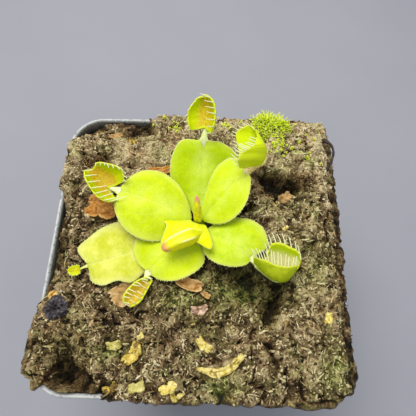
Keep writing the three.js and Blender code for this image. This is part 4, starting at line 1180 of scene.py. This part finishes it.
def make_lobes(shape, trap, cells=(56, 72)):
    def middle(s, t):
        share = from_middle(t)
        ribs = 0.05 * np.sin(38 * s) * smooth(0.1, 0.4, share) * smooth(1, 0.8, share)
        grain = 0.05 * noise(s * 17, t * 23)
        return trap_surface(trap, s, t) + (ribs + grain)[..., None] * trap_axes(trap)[1]

    def thickness(s, t):
        share = from_middle(t)
        return mix(0.85, 0.5, smooth(0, 0.35, share)) * mix(1, 0.7, smooth(0.97, 1, share))

    points, faces, (s, t, side) = sheet(middle, *cells, thickness)
    share = np.maximum(from_middle(t), from_middle(s) ** 6)
    shape.add(points, faces, stack(s, 2 * t - 1, share), side, 1)


def make_teeth(shape, trap, rng, steps=9, sides=6):
    """The long teeth of both margins, as slender as they are in the photograph."""
    for edge, (count, long, near_way, far_way) in zip((0.0, 1.0), trap["teeth"]):
        s = np.linspace(0.04, 0.96, count) + rng.normal(0, 0.25 / count, count) * 0.3
        root = trap_surface(trap, s, np.full(count, edge))
        grown = unit(root - trap_surface(trap, s, np.full(count, abs(edge - 0.05))))
        way = mix(np.array(near_way, float), np.array(far_way, float), s[:, None])
        way = unit(unit(way) + rng.normal(0, 0.07, (count, 3)))
        reach = (long * mix(0.7, 1, np.sin(np.pi * s)) * rng.uniform(0.85, 1.1, count))[:, None]
        knee = root + unit(grown + 0.5 * way) * 0.35 * reach
        bends = [p[:, None] for p in (root - grown * 0.4, knee, knee + way * 0.75 * reach)]
        path = bent(*bends, np.linspace(0, 1, steps)[None, :, None])
        radius = min(1, 0.4 + 0.3 * long) * mix(0.27, 0.09, np.linspace(0, 1, steps) ** 0.9)
        points, faces = tubes(path, np.broadcast_to(radius, path.shape[:2]), sides)
        tint = np.tile(np.repeat(np.linspace(0.1, 1, steps), sides), count)
        shape.add(points, faces, tint=tint, finish=2)


def make_triggers(shape, trap):
    """Three trigger hairs on each lobe."""
    s = np.array([0.36, 0.52, 0.66])
    for t, middle_t in ((0.3, 0.36), (0.7, 0.64)):
        root = trap_surface(trap, s, np.array([t, middle_t, t]))
        path = root[:, None] + trap_axes(trap)[1] * np.array([0, 0.35, 0.8])[None, :, None]
        shape.add(*tubes(path, np.broadcast_to([0.09, 0.06, 0.03], (3, 3)), 5), tint=0.2, finish=2)


def make_neck(shape, leaf, trap, steps=30, sides=16):
    """The neck: it flares out of the blade's tip, and runs on as the trap's spine under its midrib."""
    def rib_at(s):
        return trap_curves(trap, np.array(s))[0]

    inner, tip = (blade_frame(leaf, np.array([u]), np.array([0.5]))[0][0] for u in (0.84, 1.0))
    _, open_way, across = trap_axes(trap)
    thick = min(1.0, 0.12 * np.linalg.norm(rib_at(1.0) - rib_at(0.0)))
    spine = [rib_at(s) - drop * thick * open_way for s, drop in ((0.12, 0.6), (0.5, 0.5), (0.9, 0.2))]
    knots = [inner - [0, 0, 0.35], tip - [0, 0, 0.1], mix(tip, spine[0], 0.55), *spine]
    t = np.linspace(0, 1, steps)
    path = spline(knots, t)
    ahead = unit(np.gradient(path, axis=0))
    blade_left = unit(np.cross([0, 0, 1], tip - inner))
    turned_way = across if blade_left @ across > 0 else -across
    left = unit(mix(blade_left, turned_way, smooth(0.2, 0.5, t)[:, None]))
    up = unit(np.cross(ahead, left))
    left = np.cross(up, ahead)
    stations = [0, 0.16, 0.28, 0.42, 0.6, 0.8, 1]
    wide = thick * np.interp(t, stations, [0.3, 1.8, 1.0, 0.8, 0.75, 0.5, 0.15])
    high = thick * np.interp(t, stations, [0.2, 0.42, 0.6, 0.7, 0.7, 0.45, 0.15])
    angle = circle(sides)
    rings = path[:, None] + (wide[:, None] * np.cos(angle))[..., None] * left[:, None]
    rings = rings + (high[:, None] * np.sin(angle))[..., None] * up[:, None]
    shape.add(*lathe(rings), tint=np.repeat(t, sides), finish=3)


def bud_solid(shape, bud, finish, seam=42, steps=40, sides=36):
    """A folded trap: a flattened rod, thickest in its first half, with a raised seam along both margins."""
    t = np.linspace(0, 1, steps)[:, None]
    path = bent(*(above_rim(bud[key]) for key in ("base", "bend", "tip")), t)
    ahead = unit(np.gradient(path, axis=0))
    side = unit(np.cross(ahead, [0.12, -0.2, 1]))
    up = np.cross(side, ahead)
    radius = bud["radius"] * mix(bud["blunt"], 1, np.sin(np.pi * mix(0.22, 0.98, t)))
    radius = radius * np.sqrt(np.clip(1 - t**12, 0.02, 1)) * mix(bud["waist"], 1, smooth(0, 0.35, t))
    angle = circle(sides)

    def strip(degrees, width):
        past = (angle - np.radians(degrees) + np.pi) % (2 * np.pi) - np.pi
        return np.exp(-((past / width) ** 2))

    upper = strip(seam, 0.24) * smooth(0.1, 0.3, t)
    lower = strip(seam + 68, 0.18) * smooth(0.75, 0.5, t) * smooth(0.05, 0.3, t)
    ridge = np.maximum(upper, lower)
    swell = 1 + 0.12 * ridge - 0.14 * strip(seam + 38, 0.26) - 0.08 * strip(seam + 100, 0.3)
    out_side, out_up = radius * swell * np.cos(angle), radius * swell * np.sin(angle) * 0.92
    points = path[:, None] + out_side[..., None] * side[:, None] + out_up[..., None] * up[:, None]
    grow = stack(np.broadcast_to(t, ridge.shape), 0 * ridge, ridge)
    shape.add(*lathe(points[::-1]), grow=grow[::-1], finish=finish)


# main, fresh and pale of the blade, then inside, band and outside of the trap, neck and its flush
# Painted light and shade in some of these tones: leaf_front's blade is lighter against the young trap's
# shadow,
# leaf_back's blade is darker where it tilts away from the light, and the trap outsides of leaf_back and
# leaf_back_right are lighter where they face away from it.
LEAF_COLOURS = {
    "leaf_lower_left": (0xC8CE20, 0xE4E464, 0xF0F0AC, 0xD2C414, 0xDCD81C, 0xD8E010, 0xE2E67C, 0xE2E67C),
    "leaf_front": (0xC6DC00, 0xD2E606, 0xE6EC7C, 0xDAB82C, 0xE8D256, 0xD4E204, 0xECEEB4, 0xE0E684),
    "leaf_right": (0xBDD80A, 0xCFE41E, 0xE6EE84, 0xD8D286, 0xE6E0A6, 0xAEC404, 0xE6EAA4, 0xBCCE20),
    "leaf_back": (0xB2CE00, 0xC3DE0C, 0xD8E858, 0xCCA410, 0xCCC818, 0xCCE004, 0xE2EAAC, 0xD6E07C),
    "leaf_left": (0xBFD504, 0xD2E418, 0xE8EE7E, 0xBC9A0E, 0xC6B01E, 0xC4D804, 0xEAEEB8, 0xDDE488),
    "leaf_back_right": (0xC4DC00, 0xD3E808, 0xE6EE6C, 0xB4B424, 0xBCD014, 0xDCEE06, 0xDCD684, 0xC88C24),
    "leaf_young": (0xDFE400, 0xEAEC04, 0xF2F03C),
}


def make_leaves(rng):
    tooth = tooth_finish()
    for name, leaf in LEAVES.items():
        colours = LEAF_COLOURS[name]
        shape = Shape()
        make_blade(shape, leaf)
        finishes = [blade_finish(name + "_blade", *colours[:3])]
        if name in TRAPS:
            trap = TRAPS[name]
            make_cilia(shape, leaf, rng)
            make_lobes(shape, trap)
            make_teeth(shape, trap, rng)
            make_triggers(shape, trap)
            make_neck(shape, leaf, trap)
            finishes.append(trap_finish(name + "_trap", *colours[3:6], trap["green"]))
            finishes += [tooth, neck_finish(name + "_neck", *colours[6:])]
        else:
            bud_solid(shape, BUDS[name], 1)
            finishes.append(bud_finish("young_trap", 0xE2E406, 0xF8F4B8, 0xF2A474))
        shape.piece(name + "_fine", "leaf" if name in TRAPS else "young_leaf", finishes, [name])
    spear = Shape()
    bud_solid(spear, BUDS["leaf_spear"], 0, seam=70)
    finish = bud_finish("spear", 0xBEBE12, 0xE0B84A, 0xF08C88)
    spear.piece("leaf_spear_fine", "young_leaf", [finish], ["leaf_spear"])


# ---- Moss ----

# Tufts that stand for the part's own: node, x, y, radius, shoots, length of the leaves.
TUFTS = [
    ("moss_tuft_back_right", 24.2, 40, 5.5, 34, 5.6),
    ("moss_tuft_middle_right", 27, 31.6, 2.8, 12, 2.0),
    ("moss_tuft_back_left", -8.6, 40.4, 1.9, 7, 1.8),
    ("moss_tuft_back_middle", 9.4, 40.4, 1.8, 7, 1.8),
    ("moss_tuft_star", 35.6, 28, 1.2, 4, 2.0),
]
# Shoots that stand by themselves: x, y and length of the leaves.
STARS = [
    (-7.5, 38.2, 1.1), (-12.2, 43.6, 1.2), (-16.5, 42.9, 1.0), (14.6, 43.2, 1.1), (19.4, 42.8, 1.3),
    (30.6, 37.4, 1.3), (32.4, 40.2, 1.2), (33.4, 33.4, 1.2), (36.0, 36.4, 1.1), (38.1, 33.9, 1.2),
    (30.9, 31.0, 1.3), (32.6, 29.2, 1.0), (22.2, 35.2, 1.2), (39.8, 25.6, 0.9), (24.0, 30.0, 1.0),
]
GOLDEN_ANGLE = 137.5  # degrees from each shoot or leaf to the next


def shoots(shape, rng, x, y, length, lean, leaves=13):
    """Upright shoots with slender leaves all round: length is the leaves' own, and lean tips the shoots."""
    count = len(x)
    base = laid(x, y, -0.3)
    stem = length * rng.uniform(0.25, 0.6, count)
    order = (np.arange(leaves) + 0.5) / leaves
    azimuth = rng.uniform(0, 360, (count, 1)) + np.arange(leaves) * GOLDEN_ANGLE
    out = mix(1.35, 0.25, order) * rng.uniform(0.8, 1.2, (count, leaves))
    way = flat_way(azimuth) * np.sin(out)[..., None] + [0, 0, 1] * np.cos(out)[..., None]
    way = unit(way + lean[:, None])
    axis = unit(np.array([0, 0, 1]) + lean)
    root = base[:, None] + axis[:, None] * (stem[:, None] * order)[..., None]
    reach = (length[:, None] * mix(0.75, 1, order) * rng.uniform(0.8, 1.1, (count, leaves)))[..., None, None]
    t = np.array([0, 0.35, 0.7, 1])[:, None]
    sag = np.array([0, 0, -0.25]) * t**2 * out[..., None, None]
    path = root[:, :, None] + (way[:, :, None] * t + sag) * reach
    path = path.reshape(-1, 4, 3)
    radii = np.broadcast_to(np.array([0.12, 0.22, 0.16, 0.04]), path.shape[:2]) * rng.uniform(0.8, 1.1)
    points, faces = tubes(path, radii)
    own = rng.uniform(-0.15, 0.15, (len(path), 1, 1))
    tint = np.broadcast_to(own + np.array([0.1, 0.45, 0.75, 1])[:, None], (len(path), 4, 3)).clip(0, 1)
    shape.add(points, faces, tint=tint.ravel())


def make_moss(rng, finish):
    for name, x, y, radius, count, length in TUFTS:
        shape = Shape()
        far = np.sqrt((np.arange(count) + 0.5) / count) * radius
        place = [x, y] + flat_way(np.arange(count) * GOLDEN_ANGLE)[:, :2] * far[:, None]
        place = place + rng.normal(0, 0.18, place.shape)
        lean = np.concatenate([(place - [x, y]) / radius * 0.45, np.zeros((count, 1))], 1)
        lengths = length * mix(1, 0.5, far / radius) * rng.uniform(0.65, 1.15, count)
        shoots(shape, rng, *place.T, lengths, lean)
        shape.piece(name + "_fine", "moss", [finish], [name])
    shape = Shape()
    x, y, lengths = np.array(STARS).T
    shoots(shape, rng, x, y, lengths, np.zeros((len(x), 3)))
    shape.piece("moss_stars", "moss", [finish])


# ---- Litter that the part has ----


# Dark, main and light tone, and how little a chip is pitted.
DEAD_LEAF_TONES = {
    "brown": (0x743E10, 0xC88630, 0xE8B868),
    "tan": (0x765628, 0xBA9250, 0xDEC08A),
    "golden": (0x7A5424, 0xC79A52, 0xE8CC92),
}
CHIP_TONES = {
    "pale": (0x7A6020, 0xD2BC54, 0xF0E294),
    "bright": (0xA88A2C, 0xE8D468, 0xFAEEA4),
    "mottled": (0x54340F, 0xD0B240, 0xEEDC7C, 0.47),
    "olive": (0x6A6020, 0xB8AC50, 0xDAD084),
    "pink": (0x6E4C34, 0xC09A7A, 0xECD2B8),
}


def flake_middle(x, y, long, wide, degrees, curl, tilt, bow, slim, crease):
    """The curled middle surface of a flake, with its ragged outline, from its row in FLAKES."""
    turn, slope = math.radians(degrees), math.tan(math.radians(tilt))
    level = float(ground(np.array(x), np.array(y)) + hills(SETTLED, x, y)) + RIM

    def middle(u, v):
        p, q = 2 * u - 1, 2 * v - 1
        pinch = np.sqrt(1 - 0.78 * p**4) * slim * (1 + 0.16 * noise(2.2 * p + y, 0 * p + 3.5))
        ragged = 1 + 0.2 * noise(3 * p + x, 3 * q + y) + 0.1 * noise(8 * p + y, 8 * q + x)
        along, across = p * long * ragged, q * wide * pinch * ragged + bow * (p * p - 0.4)
        folds = np.abs((1.6 * p + 0.7 * q + y) % 2 - 1) + 0.6 * np.abs((2.3 * q - 0.8 * p + x) % 2 - 1)
        lift = curl * (np.abs(q) ** 2 + 0.6 * p * p) + slope * along + crease * (folds - 0.8)
        lift = lift + 0.1 * noise(4 * p + y, 4 * q) + 0.06 * noise(11 * p + x, 11 * q)
        to_x = along * math.cos(turn) - across * math.sin(turn)
        to_y = along * math.sin(turn) + across * math.cos(turn)
        return stack(x + to_x, y + to_y, level + lift)

    return middle


def make_flakes(cells=(60, 40)):
    finishes = {key: dead_leaf_finish(key + "_dry_leaf", *tones) for key, tones in DEAD_LEAF_TONES.items()}
    finishes |= {key: chip_finish(key + "_chip", *tones) for key, tones in CHIP_TONES.items()}
    for name, x, y, long, wide, *bends, key, thick, bow, slim, crease in FLAKES + SMALL_CHIPS:
        def thickness(u, v):
            return thick * mix(1, 0.35, smooth(0.9, 1, np.maximum(from_middle(u), from_middle(v))))

        middle = flake_middle(x, y, long, wide, *bends, bow, slim, crease)
        points, faces, (u, v, side) = sheet(middle, *cells, thickness)
        share = np.maximum(from_middle(u), from_middle(v))
        grow = stack((2 * u - 1) * long, (2 * v - 1) * wide, share)
        slot = "pink_chip" if key == "pink" else "chip"
        slot = "dead_leaf" if name.startswith("dead_leaf") else slot
        node = [] if name.startswith("chip_extra") else [name]
        Shape().add(points, faces, grow, side).piece(name + "_fine", slot, [finishes[key]], node, sharp=60)


def make_lumps():
    """The golden stone and the dark lump of peat, as balls with a broken surface."""
    greys = [(0.35, 0x161314), (0.52, 0x464042), (0.72, 0x8C8486)]
    looks = {  # finish, slot and how broken it is
        "stone_golden": (chip_finish("stone", 0x8A5A1C, 0xDCA844, 0xF6DC94), "chip", 0.1),
        "lump_dark": (dark_finish("dark_peat_lump", 0.7, 0.4, 0.7, greys, (0.4, 0.3)), "dark_litter", 0.44),
    }
    angle, rise = circle(64)[None], np.linspace(-0.46, 0.5, 34)[:, None] * np.pi
    for name, x, y, radius, height in LUMP_PIECES:
        finish, slot, rough = looks[name]
        grain = 1 + rough * noise(3 * np.cos(angle) + 4 * rise + x, 3 * np.sin(angle) + y)
        grain = grain + 0.5 * rough * noise(8 * np.cos(angle) + 9 * rise, 8 * np.sin(angle) + 5)
        flat = radius * grain * np.cos(rise).clip(0.02)
        z = float(ground(np.array(x), np.array(y))) + RIM + height * grain * np.sin(rise)
        lump = Shape().add(*lathe(ring(x, y, flat, angle, z)))
        lump.piece(name + "_fine", slot, [finish], [name], sharp=60)


FIBRE = [
    (39.6, 34.6, 1.2), (41.6, 34.2, 4.6), (43.6, 31.6, 5.8),
    (43.9, 28.2, 5.4), (42.4, 24.6, 3.6), (40.6, 23.4, 0.6),
]


def make_fibre():
    """The dead root that arches over the back right edge, knotted where it leaves the soil."""
    browns = [(0.35, 0x120D0A), (0.55, 0x33261C), (0.75, 0x6A5440)]
    finish = dark_finish("dead_root", 0.6, 0.5, 0.9, browns, (0.5, 0.15))
    t = np.linspace(0, 1, 70)
    path = spline([above_rim(p) for p in FIBRE], t)[None]
    stations = [0, 0.06, 0.2, 0.3, 0.45, 0.75, 0.9, 1]
    radius = np.interp(t, stations, [0.5, 0.75, 0.95, 0.5, 0.36, 0.4, 0.8, 0.6])
    radius = radius * (1 + 0.16 * noise(t * 22, t * 0 + 3))
    root = Shape().add(*tubes(path, radius[None], 12))
    root.piece("root_fibre_fine", "dark_litter", [finish], ["root_fibre"])


# ---- Rhizome ----

# Radius and height of the bulb, from its base up, and where it stands.
RHIZOME = [(1.2, -17), (3.4, -13.5), (4.1, -9), (3.5, -4), (3, -0.5), (2.7, 2.2), (2, 4), (1.2, 5.6)]
CROWN = (0.8, 3.8)
# Its roots: turn in degrees, how far they spread and how deep they go.
ROOTS = [(20, 13, 44), (110, 9, 52), (205, 14, 40), (290, 10, 48)]


def make_rhizome():
    """The bulb of leaf bases, each a low scale, and its thick roots."""
    f = soft("bulb", 0.55, 0.2, 0.8)
    streak = f.blotches(1.4, 3, place=f.stretched((1, 1, 0.35)))
    lines = f.span(streak, 0.35, 0.7)
    buried, crown = f.mixed(lines, 0xE0DDBE, 0xA8B060), f.mixed(lines, 0x7E8E14, 0x5E5A1C)
    finish = f.done(f.mixed(f.span(f.height(), RIM - 2, RIM + 1), buried, crown), [(streak, 0.15)])
    t = np.linspace(0, 1, 60)[:, None]
    profile = spline(RHIZOME, t[:, 0])
    angle = circle(60)[None]
    scales = 0.05 * np.abs(np.sin(2.5 * angle + 7 * t)) * smooth(0, 0.1, t) * smooth(1, 0.85, t)
    bulb = ring(*CROWN, profile[:, :1] * (0.96 + scales), angle, profile[:, 1:] + RIM)
    shape = Shape().add(*lathe(bulb))
    r = np.linspace(0, 1, 30)
    for turn, far, depth in ROOTS:
        course = ((1, -12), (far * 0.6, -15), (far * 0.95, -0.45 * depth), (far, -depth))
        knots = [np.array([*CROWN, RIM]) + flat_way(turn) * out + [0, 0, z] for out, z in course]
        shape.add(*tubes(spline(knots, r)[None], mix(0.9, 0.4, r)[None], 10))
    shape.piece("rhizome_fine", "rhizome", [finish], ["rhizome"])


# ---- Camera, light and floor ----

# Aim is on the rim's plane. Lengths are in millimetres and turns in degrees.
CAMERA = {"aim": (3.7, 11.2), "distance": 124.3, "yaw": -3.2, "pitch": 67.9, "roll": -1.8}
PHOTO_WIDTH = 416  # pixels
FOCAL = 385  # pixels
SENSOR = 36  # millimetres
CLOSEST = 5  # the nearest that the camera sees, in millimetres
# Soft square lights that face the plant: name, place and size in metres, power in watts, and colour.
LIGHTS = [
    ("key", (-0.1, 0.18, 0.6), 0.38, 3.15, (1, 0.98, 0.94)),
    ("fill", (0.35, -0.35, 0.55), 0.6, 0.6, (1, 1, 1)),
]
SKY = {"Color": (0.86, 0.9, 1.0, 1), "Strength": 0.45}
FLOOR_REACH = 1.2  # metres


def make_camera():
    """The camera looks down on the pot from the front, aimed at a point on the rim's plane."""
    yaw, pitch, roll = (math.radians(CAMERA[key]) for key in ("yaw", "pitch", "roll"))
    forward = Vector((math.cos(pitch) * math.sin(yaw), math.cos(pitch) * math.cos(yaw), -math.sin(pitch)))
    right = Vector((math.cos(yaw), -math.sin(yaw), 0))
    up = right.cross(forward)
    right, up = right * math.cos(roll) + up * math.sin(roll), up * math.cos(roll) - right * math.sin(roll)
    aim = Vector((*CAMERA["aim"], RIM)) * MM
    data = bpy.data.cameras.new("camera")
    data.sensor_width, data.lens = SENSOR, FOCAL / PHOTO_WIDTH * SENSOR
    data.clip_start = CLOSEST * MM
    camera = bpy.data.objects.new("camera", data)
    turn = Matrix((right, up, -forward)).transposed().to_4x4()
    camera.matrix_world = Matrix.Translation(aim - forward * CAMERA["distance"] * MM) @ turn
    bpy.context.scene.collection.objects.link(camera)
    bpy.context.scene.camera = camera


def make_light(name, place, size, power, colour):
    data = bpy.data.lights.new(name, "AREA")
    data.size, data.energy, data.color = size, power, colour
    light = bpy.data.objects.new(name, data)
    light.location = place
    light.rotation_euler = (Vector((0, 0, RIM * MM)) - Vector(place)).to_track_quat("-Z", "Y").to_euler()
    bpy.context.scene.collection.objects.link(light)


def make_stage():
    """A pale floor and a soft even surround."""
    steps = np.linspace(-FLOOR_REACH, FLOOR_REACH, 13)
    gx, gy = np.meshgrid(steps, steps, indexing="ij")
    points = stack(gx, gy, 0 * gx).reshape(-1, 3)
    mesh = bpy.data.meshes.new("floor")
    mesh.from_pydata(points.tolist(), [], quads(np.arange(gx.size).reshape(gx.shape)).tolist())
    mesh.materials.append(floor_finish())
    floor = bpy.data.objects.new("floor", mesh)
    bpy.context.scene.collection.objects.link(floor)
    world = bpy.data.worlds.new("studio")
    world.use_nodes = True
    for key, value in SKY.items():
        world.node_tree.nodes["Background"].inputs[key].default_value = value
    bpy.context.scene.world = world
    bpy.context.scene.view_settings.view_transform = "Standard"


SEEDS = {"fibres": 7, "crumbs": 11, "leaves": 23, "moss": 31}
draws = {name: np.random.default_rng(seed) for name, seed in SEEDS.items()}

make_camera()
make_stage()
for light in LIGHTS:
    make_light(*light)
make_pot(pot_finish())
make_soil(soil_finish())
litter = litter_finish()
make_fibres(draws["fibres"], litter)
make_crumbs(draws["crumbs"], litter)
make_rhizome()
make_leaves(draws["leaves"])
make_moss(draws["moss"], moss_finish())
make_flakes()
make_lumps()
make_fibre()
